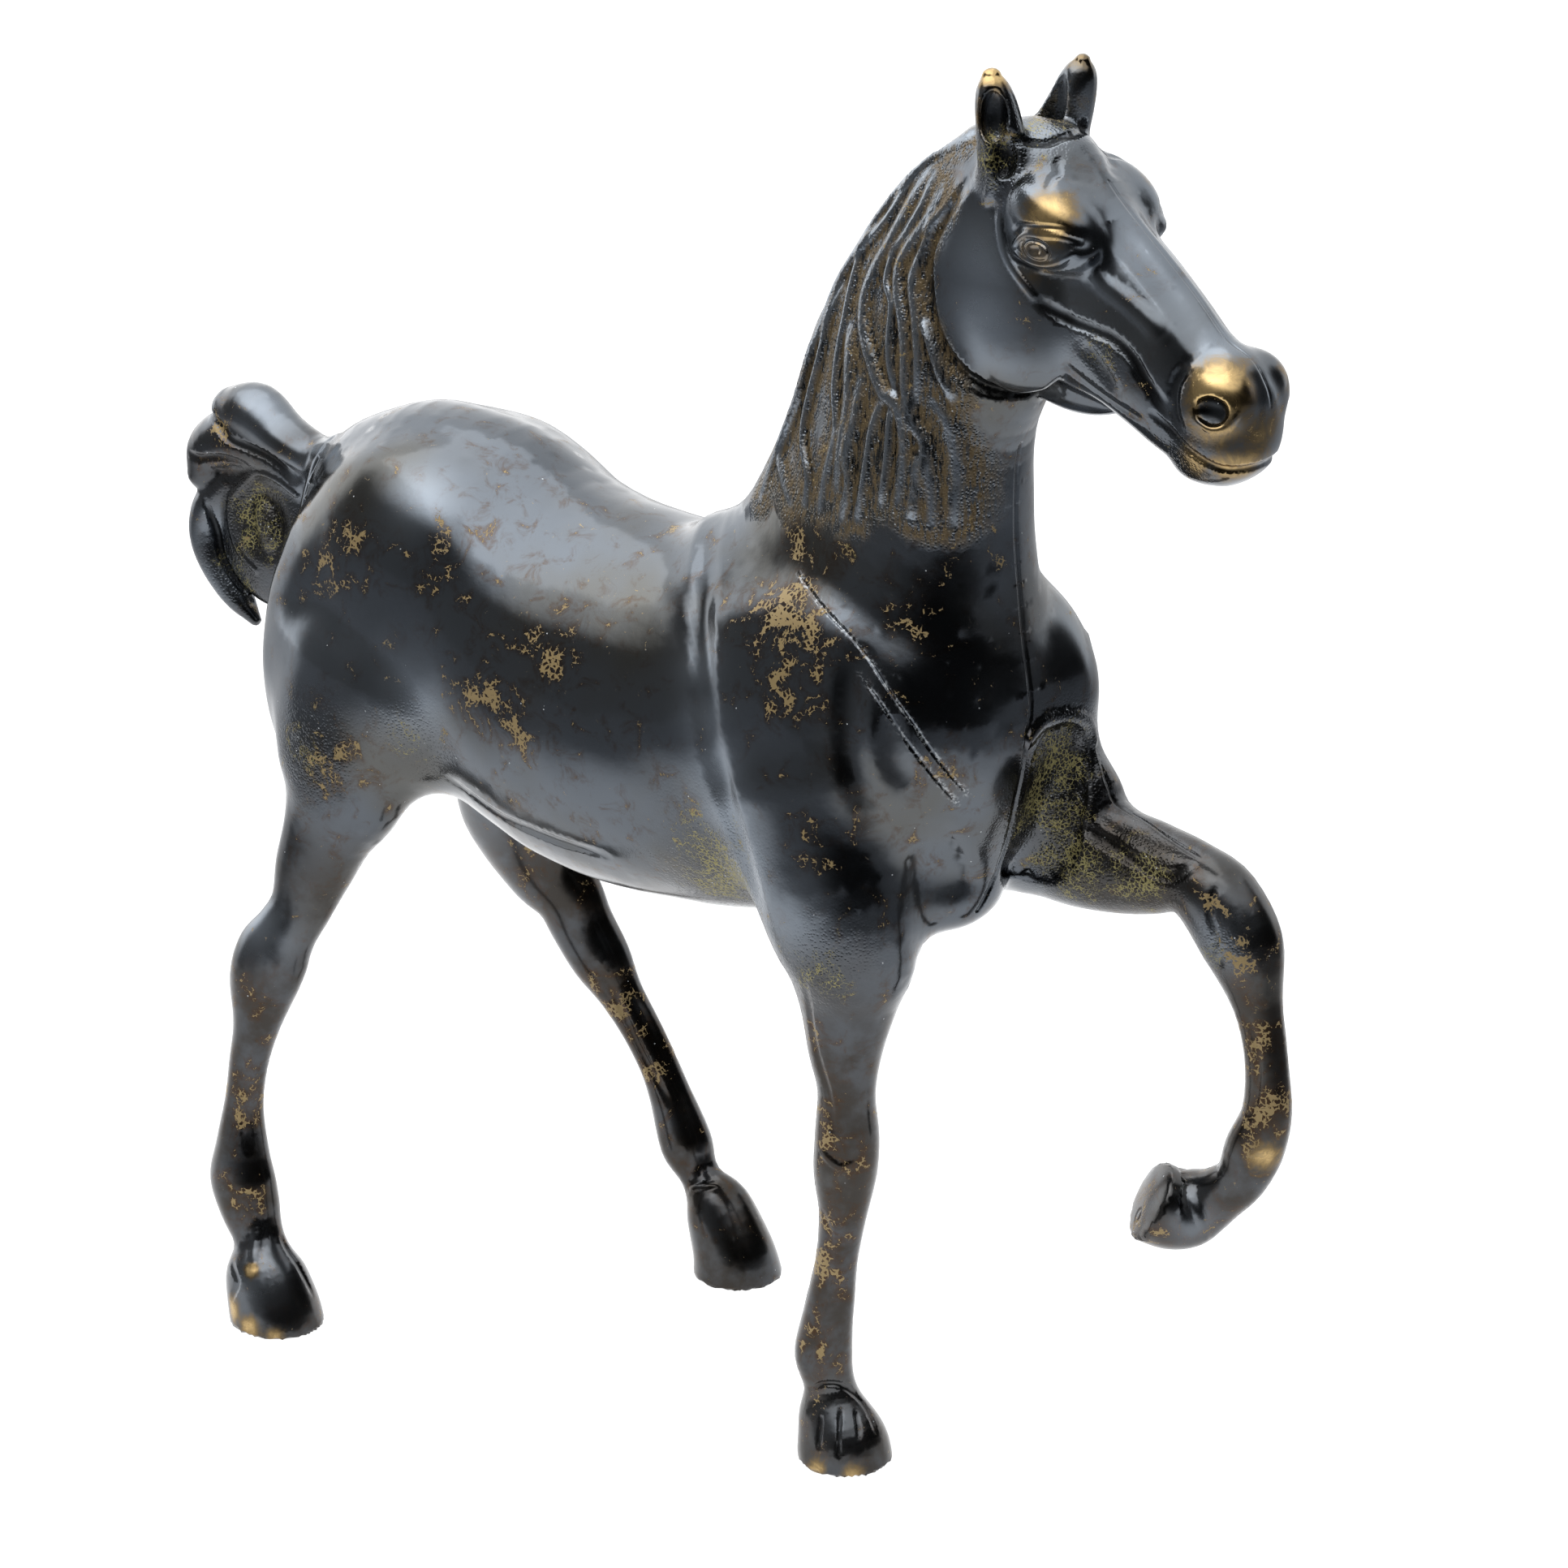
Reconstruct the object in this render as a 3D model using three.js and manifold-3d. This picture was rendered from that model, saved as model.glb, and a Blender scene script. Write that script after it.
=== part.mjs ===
// A cast bronze figure of a stepping horse: three hooves on the ground, the left foreleg raised, the mane
// combed to the right and the tail curled up over the rump. One hollow casting, 285 mm to the ear tips.
//
// The figure is sculpted as clay would be: tapering limbs and rounded masses run into each other, creases and
// ridges are drawn on the surface, and the whole is then turned into one closed mesh.
//
// Frame: millimetres, +X to where the horse faces, +Y its left side, +Z up, soles on z = 0.
import * as THREE from "three";
import Module from "manifold-3d";

const CELL = 1.25; // spacing of the grid on which the clay is first cut, mm
const TRIANGLES = 9000; // faces that the finished casting keeps
const BOX = { low: [-163, -58, -19], high: [123, 58, 293] }; // room around the clay, mm
const BRONZE = { color: 0x1d2127, roughness: 0.32, metalness: 1 };

// Trunk and neck as upright slices: top x, z, bottom x, z, half width.
const TRUNK = [
  [-111, 182, -116.5, 150, 9.5],
  [-101, 188.2, -107.5, 134, 19.5],
  [-86, 193.5, -89, 122.2, 26],
  [-66, 191.8, -67, 111.5, 30],
  [-47, 183.5, -46, 105.3, 32.5],
  [-27, 181, -27, 104, 33],
  [-6, 181.3, -6, 106, 32],
  [14, 185, 14, 109, 30],
  [34, 183, 32, 111, 26],
  [50, 176, 45, 116, 20],
  [57, 164, 53, 127, 14],
];
const NECK = [
  [-14, 184, 57, 142, 26],
  [-4, 190.5, 62.2, 160, 22],
  [4, 205, 60, 181, 18],
  [10.5, 222, 58.6, 197, 16.4],
  [19.2, 240.6, 59.2, 212, 14.6],
  [33.5, 258.8, 63.6, 224, 13.4],
  [47.3, 271.4, 69, 240, 12.5],
];
// Head as slices from the poll to the lips.
const HEAD = [
  [62, 273.5, 50, 243, 12],
  [72, 271.5, 60, 231.5, 12.4],
  [80, 263.5, 70.5, 227.5, 11.4],
  [88.5, 256, 79.5, 225.5, 11.1],
  [96.5, 248.8, 86.5, 222.3, 10.5],
  [103, 242.2, 92.5, 218.8, 9.5],
  [108, 237.4, 99, 216.2, 8.2],
  [111, 233.4, 105, 215.4, 7.6],
];
// Limbs as stations along the bone: x, y, z, half width across, half depth fore and aft.
const RIGHT_FORE = [
  [26, -20, 142, 13, 18],
  [32, -21.5, 126, 13.2, 16.8],
  [35.5, -21, 112, 12.2, 14.3],
  [35.2, -20.5, 102, 9.1, 10.2],
  [34.4, -20, 91, 6.9, 7.6],
  [34.5, -19.5, 82, 5.3, 5.8],
  [34.2, -19, 72.5, 6, 6.3],
  [33.3, -18.5, 64.6, 6.2, 6.3],
  [32.5, -18, 55.4, 4.9, 5],
  [30.9, -17.5, 46, 4.2, 4.3],
  [29.2, -17, 36.5, 4.3, 4.8],
  [27.2, -16.5, 27, 5, 5.5],
  [26.6, -16.5, 21.2, 5.3, 5.8],
  [27.8, -16, 15.1, 4.8, 5.1],
  [28.8, -16, 10, 6.7, 7],
  [30.7, -16, 4.5, 8.6, 8.9],
  [31.6, -16, 0, 9.1, 9.3],
  [31.8, -16, -5, 9.3, 9.5],
];
const LEFT_FORE = [
  [46, 17, 137, 12, 24.5],
  [58, 18.5, 131, 11, 17.3],
  [65, 19, 127.7, 9.8, 12.9],
  [71.5, 19, 126.8, 9, 10.6],
  [79.3, 19, 127.2, 8.2, 9.1],
  [87, 19, 127.3, 7.2, 7.2],
  [94, 19, 123.8, 7.6, 8.2],
  [99.2, 19, 116.2, 7.3, 8],
  [103.2, 19, 105.3, 4.8, 4.9],
  [105.3, 19, 95.1, 3.9, 4.3],
  [106, 19, 84, 4.4, 4.9],
  [103.6, 19, 75.5, 5.4, 6],
  [100.7, 19, 68.2, 4.6, 5.1],
  [96, 19, 63.6, 4.9, 5.5],
  [92.6, 18.4, 61.1, 6.1, 6.8],
  [89.6, 17, 59.4, 7.1, 7.9],
  [86.9, 14.9, 59.4, 7.7, 8.4],
  [84.4, 12.2, 61, 7.9, 8.5],
];
const RIGHT_HIND = [
  [-84.5, -21, 142, 13.5, 22],
  [-88.6, -24, 127, 12.5, 17.6],
  [-89.6, -26, 116.5, 10.6, 14],
  [-92.6, -27.5, 108, 8.2, 9.9],
  [-95.7, -29, 99, 7.3, 8.2],
  [-97.6, -31, 91, 6, 6.5],
  [-100.2, -33, 85.5, 6.2, 6.6],
  [-102.6, -34.5, 80.5, 6.6, 8],
  [-104.7, -35.5, 73.7, 6.3, 7.8],
  [-106.6, -36, 64.2, 4.8, 5.2],
  [-109, -36.5, 54.5, 3.8, 4.1],
  [-110.3, -37, 45.2, 3.9, 4.3],
  [-110.6, -37.5, 36.1, 5, 6.2],
  [-110.3, -38, 29, 5.8, 7.8],
  [-108.2, -38.4, 22.1, 5.8, 7],
  [-105.2, -39.2, 16.4, 5.3, 5.7],
  [-103.2, -40.2, 11, 7.9, 8.5],
  [-101, -40.6, 5.4, 9, 9.6],
  [-99.2, -40.8, 0, 9.6, 10.2],
  [-98.8, -40.8, -5, 9.7, 10.4],
];
const LEFT_HIND = [
  [-76, 22, 142, 13, 21],
  [-79.5, 24, 126, 12, 20],
  [-84, 26.5, 112, 10.8, 17.5],
  [-90, 28, 100, 9.8, 15.4],
  [-88.4, 29.5, 91, 8.6, 13],
  [-84.4, 31, 83.5, 7.6, 10.6],
  [-79.5, 32.3, 77.5, 6.7, 8.4],
  [-76.6, 33, 71.5, 6.4, 7.5],
  [-72, 34, 64, 6.1, 6.9],
  [-67.7, 35, 57.3, 4.8, 5.2],
  [-62.9, 35.5, 50.8, 4.3, 4.7],
  [-58.4, 36, 43.4, 4.1, 4.4],
  [-55.6, 36.5, 36.8, 4.5, 4.8],
  [-51.3, 36.6, 26.2, 5.4, 6],
  [-47.2, 36.4, 19.8, 4.3, 4.6],
  [-42.8, 36.2, 14.6, 6.8, 7.4],
  [-38.4, 36.2, 6.2, 8.4, 8.8],
  [-37, 36.2, 0, 9.3, 9.5],
  [-36.5, 36.2, -5, 9.5, 9.7],
];
const TAIL_TOP = [
  [-104, 0, 169, 7, 8],
  [-112, 0, 174.5, 6, 6],
  [-119, 0, 175.8, 5.6, 4.4],
  [-127, 0, 178.4, 6, 4.7],
  [-135, 0, 182.2, 6.6, 5.8],
  [-141.2, 0, 181.6, 5.6, 4.7],
];
const TAIL_LOBE = [
  [-121, 0, 170, 4, 4],
  [-129, 0, 174, 5.4, 5],
  [-138, 0, 176, 6.8, 6.2],
  [-145.8, 0, 172.8, 7, 6],
  [-148, 0, 166.7, 6, 4.6],
];
const TAIL_CRESCENT = [
  [-142, 0, 166.5, 4, 3],
  [-147, 0, 160.5, 5.6, 4.2],
  [-148.6, 0, 154, 5.8, 4.2],
  [-146.6, 0, 147, 5.2, 4],
  [-142.2, 0, 140.6, 3.8, 3.1],
  [-137, 0, 135.8, 1.4, 1.4],
];
const RIGHT_EAR = [
  [60.8, -9, 264, 4.2, 4.8],
  [61, -9.6, 270, 4.5, 4.8],
  [60.6, -10, 275, 4.7, 4.3],
  [59.9, -10.2, 279.5, 4.3, 3.6],
  [59.2, -10.2, 282.6, 3.2, 2.7],
  [58.8, -10.1, 284.4, 1.8, 1.6],
];
const LEFT_EAR = [
  [60, 8.5, 262, 6, 6.5],
  [60.8, 8.8, 270, 5.2, 5.4],
  [62.8, 9.2, 276, 4.6, 4.5],
  [64.2, 9.2, 280.3, 3.9, 3.7],
  [64.9, 9.2, 283, 2.9, 2.8],
  [65.2, 9.2, 284.6, 1.6, 1.5],
];
// The mane's locks as seen from the right: x, z down each lock.
const LOCKS = [
  [[50, 271], [40, 265.5], [34, 259.5], [28.5, 252], [24, 244.5], [20, 238], [18, 230.5], [15.5, 223], [13, 215.5],
    [9, 207.5], [6, 199.5], [5, 194]],
  [[40.5, 265.5], [36, 259.5], [32, 252.5], [26.5, 246], [25.5, 240], [25.5, 234.5], [25, 227.5], [25.5, 220],
    [27.5, 213], [25.5, 204], [24.5, 197.5]],
  [[41, 263.5], [38, 256], [35, 249.5], [32, 244], [30.5, 238.5], [31.5, 233.5], [34.5, 228.5], [38.5, 223],
    [42.5, 221], [44.5, 215], [44.5, 207.5], [44, 203]],
  [[43, 263], [42, 257.5], [39, 251.5], [36.5, 247.5], [36, 242.5], [38.5, 239], [39, 232.5], [40, 227.5],
    [42, 223]],
  [[46.5, 261], [44.5, 255.5], [41.5, 251], [39, 246.5], [39.5, 242], [42, 236.5], [43.5, 230.5], [44, 224.5],
    [46, 218.5], [48.5, 214.5], [50, 206.5], [50.5, 199]],
  [[50, 259], [46.5, 255], [45, 250], [43, 244.5], [45, 238], [46.5, 231], [46.5, 224], [45.5, 221]],
  [[47, 237.5], [49.5, 233], [51.5, 228], [53.5, 224]],
  [[49.5, 222.5], [52, 220], [53.5, 214.5], [54, 207], [53.5, 199]],
  [[22, 238.5], [20, 231.5], [19, 224.5], [17.5, 218], [16.5, 211.5], [17.5, 207], [20, 202.5], [20, 197]],
  [[15.5, 231], [15, 224.5], [14, 216.5], [11.5, 210], [9, 203.5], [12, 199.5], [15.5, 196]],
  [[32.5, 223.5], [32.5, 216], [31.5, 209], [32.5, 203.5], [31, 197]],
  [[39, 222], [37, 216], [36.5, 210.5], [36, 204.5], [35, 198]],
  [[27.5, 232.5], [29, 225.5], [30, 218.5], [29.5, 210.5], [29, 202.5]],
  [[41, 220.5], [41, 214.5], [41, 208.5], [40.5, 202]],
  [[47.5, 212.5], [47.5, 206.5], [47, 200]],
];

// Smooth join and smooth cut of two distances over a blend of k mm.
const join = (a, b, k) => {
  const h = THREE.MathUtils.clamp(0.5 + (0.5 * (b - a)) / k, 0, 1);
  return b + (a - b) * h - k * h * (1 - h);
};
const cut = (a, b, k) => -join(-a, b, k);

// Points of a smooth curve through rows of numbers, each span split into steps.
function smoothRows(rows, steps) {
  const at = (i) => {
    if (i < 0) return rows[0].map((v, j) => 2 * v - rows[1][j]);
    if (i >= rows.length) return rows.at(-1).map((v, j) => 2 * v - rows.at(-2)[j]);
    return rows[i];
  };
  const out = [];
  for (let i = 0; i < rows.length - 1; i++) {
    const [a, b, c, d] = [at(i - 1), at(i), at(i + 1), at(i + 2)];
    for (let s = 0; s < steps; s++) {
      const t = s / steps;
      out.push(b.map((v, j) => 0.5 * (2 * v + (c[j] - a[j]) * t + (2 * a[j] - 5 * v + 4 * c[j] - d[j]) * t * t
        + (3 * v - a[j] - 3 * c[j] + d[j]) * t * t * t)));
    }
  }
  out.push(rows.at(-1).slice());
  return out;
}

// Distance to an ellipsoid at offsets u, v, w given in radii, or to a squarer one where the power is over 2.
function ovalDistance(u, v, w, [a, b, c], power) {
  if (power === 2) {
    const near = Math.hypot(u, v, w) + 1e-9;
    return (near * (near - 1)) / (Math.hypot(u / a, v / b, w / c) + 1e-9);
  }
  const [x, y, z] = [Math.abs(u) + 1e-9, Math.abs(v) + 1e-9, Math.abs(w) + 1e-9];
  const near = (x ** power + y ** power + z ** power) ** (1 / power);
  const less = power - 1;
  return ((near - 1) * near ** less) / Math.hypot(x ** less / a, y ** less / b, z ** less / c);
}

// A tapering limb: oval sections strung on a smooth line, rounded at both ends.
class Limb {
  // rows: x, y, z, half width, half depth, and the direction of the depth where the sections don't stand
  // square to the line. egg narrows the top of each section; power over 2 squares it up.
  constructor(rows, { blend = 4, cap = 0.8, egg = 0, power = 2 } = {}) {
    Object.assign(this, { blend, cap, egg, power });
    const side = new THREE.Vector3(0, 1, 0);
    const fine = smoothRows(rows, 4);
    const centres = fine.map((r) => new THREE.Vector3(r[0], r[1], r[2]));
    this.sections = fine.map((r, i) => {
      const along = centres[Math.min(i + 1, fine.length - 1)].clone().sub(centres[Math.max(i - 1, 0)]).normalize();
      let normal = along;
      let depth;
      if (r.length > 5) {
        depth = new THREE.Vector3(r[5], r[6], r[7]).normalize();
        normal = side.clone().cross(depth).normalize();
        if (normal.dot(along) < 0) normal.negate();
      }
      const across = side.clone().addScaledVector(normal, -side.dot(normal)).normalize();
      depth ??= normal.clone().cross(across);
      return { centre: centres[i], normal, across, depth, wide: Math.max(r[3], 0.3), deep: Math.max(r[4], 0.3) };
    });
    this.box = new THREE.Box3();
    this.reach = [];
    for (let i = 0; i < this.sections.length; i++) {
      const s = this.sections[i];
      const r = Math.max(s.wide, s.deep) + blend + 3;
      this.box.expandByPoint(s.centre.clone().addScalar(r)).expandByPoint(s.centre.clone().addScalar(-r));
      const next = this.sections[Math.min(i + 1, this.sections.length - 1)];
      const most = Math.max(s.wide, s.deep, next.wide, next.deep);
      this.reach.push(s.centre.distanceTo(next.centre) / 2 + most + blend + 6);
    }
  }

  distance(p) {
    let best = 1e3;
    const last = this.sections.length - 2;
    for (let i = 0; i <= last; i++) {
      const a = this.sections[i];
      const b = this.sections[i + 1];
      const mx = (a.centre.x + b.centre.x) / 2 - p.x;
      const my = (a.centre.y + b.centre.y) / 2 - p.y;
      const mz = (a.centre.z + b.centre.z) / 2 - p.z;
      const reach = this.reach[i];
      if (mx * mx + my * my + mz * mz > reach * reach) continue;
      const da = (p.x - a.centre.x) * a.normal.x + (p.y - a.centre.y) * a.normal.y + (p.z - a.centre.z) * a.normal.z;
      const db = (p.x - b.centre.x) * b.normal.x + (p.y - b.centre.y) * b.normal.y + (p.z - b.centre.z) * b.normal.z;
      const t = da / Math.max(da - db, 1e-6);
      if (da - db < 1e-6) continue;
      if ((t < -0.02 && i > 0) || (t > 1.02 && i < last)) continue;
      best = Math.min(best, this.slice(p, a, b, THREE.MathUtils.clamp(t, 0, 1)));
    }
    return best;
  }

  // Distance from p to the oval that lies a share t of the way from section a to section b.
  slice(p, a, b, t) {
    const mix = (k, m) => a[k][m] + (b[k][m] - a[k][m]) * t;
    const ex = p.x - mix("centre", "x");
    const ey = p.y - mix("centre", "y");
    const ez = p.z - mix("centre", "z");
    const dot = (k) => ex * mix(k, "x") + ey * mix(k, "y") + ez * mix(k, "z");
    let wide = a.wide + (b.wide - a.wide) * t;
    const deep = a.deep + (b.deep - a.deep) * t;
    const end = Math.min(wide, deep) * this.cap;
    const v = dot("depth") / deep;
    wide *= 1 - this.egg * THREE.MathUtils.clamp(v, -1.2, 1.2);
    return ovalDistance(dot("across") / wide, v, dot("normal") / end, [wide, deep, end], this.power);
  }
}

// A limb from slices: top x, z, bottom x, z and half width, all on the midline.
const slices = (rows, options) => new Limb(rows.map(([xa, za, xb, zb, half]) => {
  const deep = Math.hypot(xa - xb, za - zb) / 2;
  return [(xa + xb) / 2, 0, (za + zb) / 2, half, deep, (xa - xb) / deep, 0, (za - zb) / deep];
}), options);

// A rounded mass: an ellipsoid turned nose down by pitch degrees, squarer where power is over 2. A hollow one
// is cut away instead.
class Mass {
  constructor(centre, radii, { pitch = 0, blend = 4, hollow = false, power = 2 } = {}) {
    Object.assign(this, { radii, blend, hollow, power });
    this.centre = new THREE.Vector3(...centre);
    const a = THREE.MathUtils.degToRad(pitch);
    this.cos = Math.cos(a);
    this.sin = Math.sin(a);
    const r = Math.max(...radii) + blend + 3;
    this.box = new THREE.Box3(this.centre.clone().addScalar(-r), this.centre.clone().addScalar(r));
  }

  distance(p) {
    const x = p.x - this.centre.x;
    const z = p.z - this.centre.z;
    const [rx, ry, rz] = this.radii;
    const u = (x * this.cos - z * this.sin) / rx;
    const v = (p.y - this.centre.y) / ry;
    const w = (x * this.sin + z * this.cos) / rz;
    return ovalDistance(u, v, w, this.radii, this.power);
  }
}

// A line drawn on the surface: a groove where depth is positive, a ridge where it is negative. Points with
// two numbers are x, z in side view, and mark the right side, or with mirrored both sides. The ends taper off
// unless blunt. The smaller the edge, the flatter the bottom and the steeper the walls.
class Crease {
  constructor(points, width, depth, { blunt = false, edge = 1, mirrored = false } = {}) {
    Object.assign(this, { width, depth, blunt, edge, mirrored });
    this.flat = points[0].length === 2;
    const rows = this.flat ? points.map(([x, z]) => [x, 0, z]) : points;
    this.line = (rows.length > 2 ? smoothRows(rows, 3) : rows).map((r) => new THREE.Vector3(...r));
    this.measure();
  }

  // The box around the line and the length up to each of its points.
  measure() {
    this.lengths = [0];
    this.box = new THREE.Box3().setFromPoints(this.line).expandByScalar(this.width + 0.3);
    if (this.flat) {
      this.box.min.y = -40;
      this.box.max.y = this.mirrored ? 40 : 0;
    }
    for (let i = 1; i < this.line.length; i++)
      this.lengths.push(this.lengths[i - 1] + this.line[i].distanceTo(this.line[i - 1]));
  }

  push(p) {
    let best = Infinity;
    let at = 0;
    for (let i = 0; i < this.line.length - 1; i++) {
      const a = this.line[i];
      const b = this.line[i + 1];
      const [bx, by, bz] = [b.x - a.x, b.y - a.y, b.z - a.z];
      const [px, py, pz] = [p.x - a.x, this.flat ? 0 : p.y - a.y, p.z - a.z];
      const t = THREE.MathUtils.clamp((px * bx + py * by + pz * bz) / (bx * bx + by * by + bz * bz), 0, 1);
      const d = (px - t * bx) ** 2 + (py - t * by) ** 2 + (pz - t * bz) ** 2;
      if (d < best) {
        best = d;
        at = this.lengths[i] + t * (this.lengths[i + 1] - this.lengths[i]);
      }
    }
    const near = Math.min((1 - best / (this.width * this.width)) / this.edge, 1);
    if (near <= 0) return 0;
    let height = near * near;
    const total = this.lengths.at(-1);
    if (!this.blunt) {
      const e = Math.min(Math.min(at, total - at) / Math.max(this.width * 1.5, 0.25 * total), 1);
      height *= 0.25 + 0.75 * e * (2 - e);
    }
    if (this.flat) height *= THREE.MathUtils.clamp(((this.mirrored ? Math.abs(p.y) : -p.y) - 0.5) / 2.5, 0, 1);
    return this.depth * height;
  }
}

// The clay: masses joined in the order they were put on, then the creases.
class Clay {
  masses = [];
  creases = [];

  add(...masses) {
    this.masses.push(...masses);
  }

  // The same mass on the right and on the left.
  pair([x, y, z], radii, options) {
    for (const s of [-1, 1]) this.add(new Mass([x, s * y, z], radii, options));
  }

  draw(points, width, depth, options) {
    this.creases.push(new Crease(points, width, depth, options));
  }

  // The same crease on the right and on the left.
  drawPair(points, width, depth, options) {
    if (points[0].length === 2) {
      this.draw(points, width, depth, { ...options, mirrored: true });
      return;
    }
    this.draw(points, width, depth, options);
    this.draw(points.map(([x, y, z]) => [x, -y, z]), width, depth, options);
  }

  // Moves p towards the surface along the slope of the distance, by no more than limit.
  pull(p, limit, carved = true) {
    const h = 0.05;
    const d = this.distance(p, carved);
    const slope = new THREE.Vector3(...["x", "y", "z"].map((axis) => {
      const beside = p.clone();
      beside[axis] += h;
      return (this.distance(beside, carved) - d) / h;
    }));
    const move = slope.multiplyScalar(-d / Math.max(slope.lengthSq(), 0.2));
    p.add(move.clampLength(0, limit));
  }

  // Moves the lines that aren't flat onto the surface, so that they keep their width there.
  layCreases() {
    for (const crease of this.creases.filter((c) => !c.flat)) {
      for (const p of crease.line) for (let step = 0; step < 3; step++) this.pull(p, 2, false);
      crease.measure();
    }
  }

  distance(p, carved = true) {
    let d = 60;
    for (const m of this.masses) {
      if (!m.box.containsPoint(p)) continue;
      d = m.hollow ? cut(d, m.distance(p), m.blend) : join(d, m.distance(p), m.blend);
    }
    if (carved && Math.abs(d) < 4) for (const c of this.creases) if (c.box.containsPoint(p)) d += c.push(p);
    return d;
  }
}

function modelTrunk(clay) {
  clay.add(slices(TRUNK, { blend: 1, cap: 0.5 }));
  clay.pair([-79, 14, 163.5], [27, 15.5, 25], { pitch: -6, blend: 5 }); // croup
  clay.pair([-99.2, 16, 141.5], [17, 12.5, 33], { pitch: 4, blend: 5 }); // back of the thigh
  clay.pair([-79, 20, 139], [19, 11.5, 22], { blend: 7 }); // stifle
  clay.pair([24, 19, 152], [24, 12, 30], { pitch: 12, blend: 7 }); // shoulder
  clay.pair([41, 13, 157], [17, 13, 20], { blend: 7 }); // breast
  clay.add(new Mass([49, 16, 158], [15.5, 13, 21], { blend: 6 })); // breast over the raised leg
  clay.add(new Mass([43, -2, 122], [12, 14, 8.5], { blend: 8 })); // brisket
}

function modelNeckAndHead(clay) {
  clay.add(slices(NECK, { blend: 8, egg: 0.3 }));
  clay.add(slices(HEAD, { blend: 5, power: 2.3, cap: 0.5, egg: 0.1 }));
  clay.add(new Mass([72, 1.5, 228], [14.5, 5, 6.8], { blend: 1.5 })); // between the jaws
  clay.pair([62.5, 9, 243], [14.5, 5.5, 17.5], { pitch: -25, blend: 1.5 }); // cheek
  clay.pair([73.5, 10.4, 260.8], [9, 5.2, 5.2], { pitch: 30, blend: 6 }); // brow
  clay.pair([84.5, 14.6, 256.5], [4.5, 3, 3.4], { pitch: 30, blend: 2, hollow: true }); // in front of the eye
  clay.pair([74.6, 11.4, 255.2], [8, 4.3, 4], { pitch: -5, blend: 1.5 }); // eyeball
  clay.add(new Mass([105.1, 0, 227.2], [8.7, 9.8, 12], { pitch: -6, power: 2.5, blend: 2.5 })); // muzzle
  clay.pair([106.5, 6, 231.5], [6.5, 4.8, 6.5], { blend: 2 }); // nostril
  clay.pair([108.2, 11, 230.8], [3.9, 3, 3.1], { blend: 0.6, hollow: true });
  clay.add(new Mass([101.5, 0, 218.2], [6.5, 6, 3.6], { pitch: -5, blend: 3 })); // chin
  clay.add(new Mass([62, 0, 269.5], [9, 10, 5], { blend: 4 })); // poll
  clay.add(new Limb(RIGHT_EAR, { blend: 1.8 }), new Limb(LEFT_EAR, { blend: 1.8 }));
  clay.add(new Mass([61.6, -13.2, 278.2], [2.3, 2.5, 5], { blend: 0.8, hollow: true })); // ear openings
  clay.add(new Mass([64, -12.5, 271], [2.2, 2.2, 4.4], { pitch: 10, blend: 1.2, hollow: true }));
  clay.add(new Mass([61.4, 5, 276], [2.9, 2.6, 7.4], { pitch: 10, blend: 0.8, hollow: true }));
}

function modelLegsAndTail(clay) {
  clay.add(new Limb(RIGHT_FORE, { blend: 7 }), new Limb(LEFT_FORE, { blend: 5, cap: 0.15 }));
  clay.add(new Limb(RIGHT_HIND, { blend: 5 }), new Limb(LEFT_HIND, { blend: 5 }));
  clay.add(new Limb(TAIL_TOP, { blend: 2.5 }), new Limb(TAIL_LOBE, { blend: 1.6 }));
  clay.add(new Limb(TAIL_CRESCENT, { blend: 1.4 }));
  clay.add(new Mass([-131.5, 0, 160], [16.5, 4, 20], { pitch: -5, blend: 2 })); // hair inside the curl
  clay.pair([-130.5, 5.6, 160.5], [8, 4, 9.5], { blend: 1.5, hollow: true });
  clay.pair([-130, 1.5, 158.5], [3.4, 2.6, 6.5], { pitch: -20, blend: 1 });
}

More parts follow.
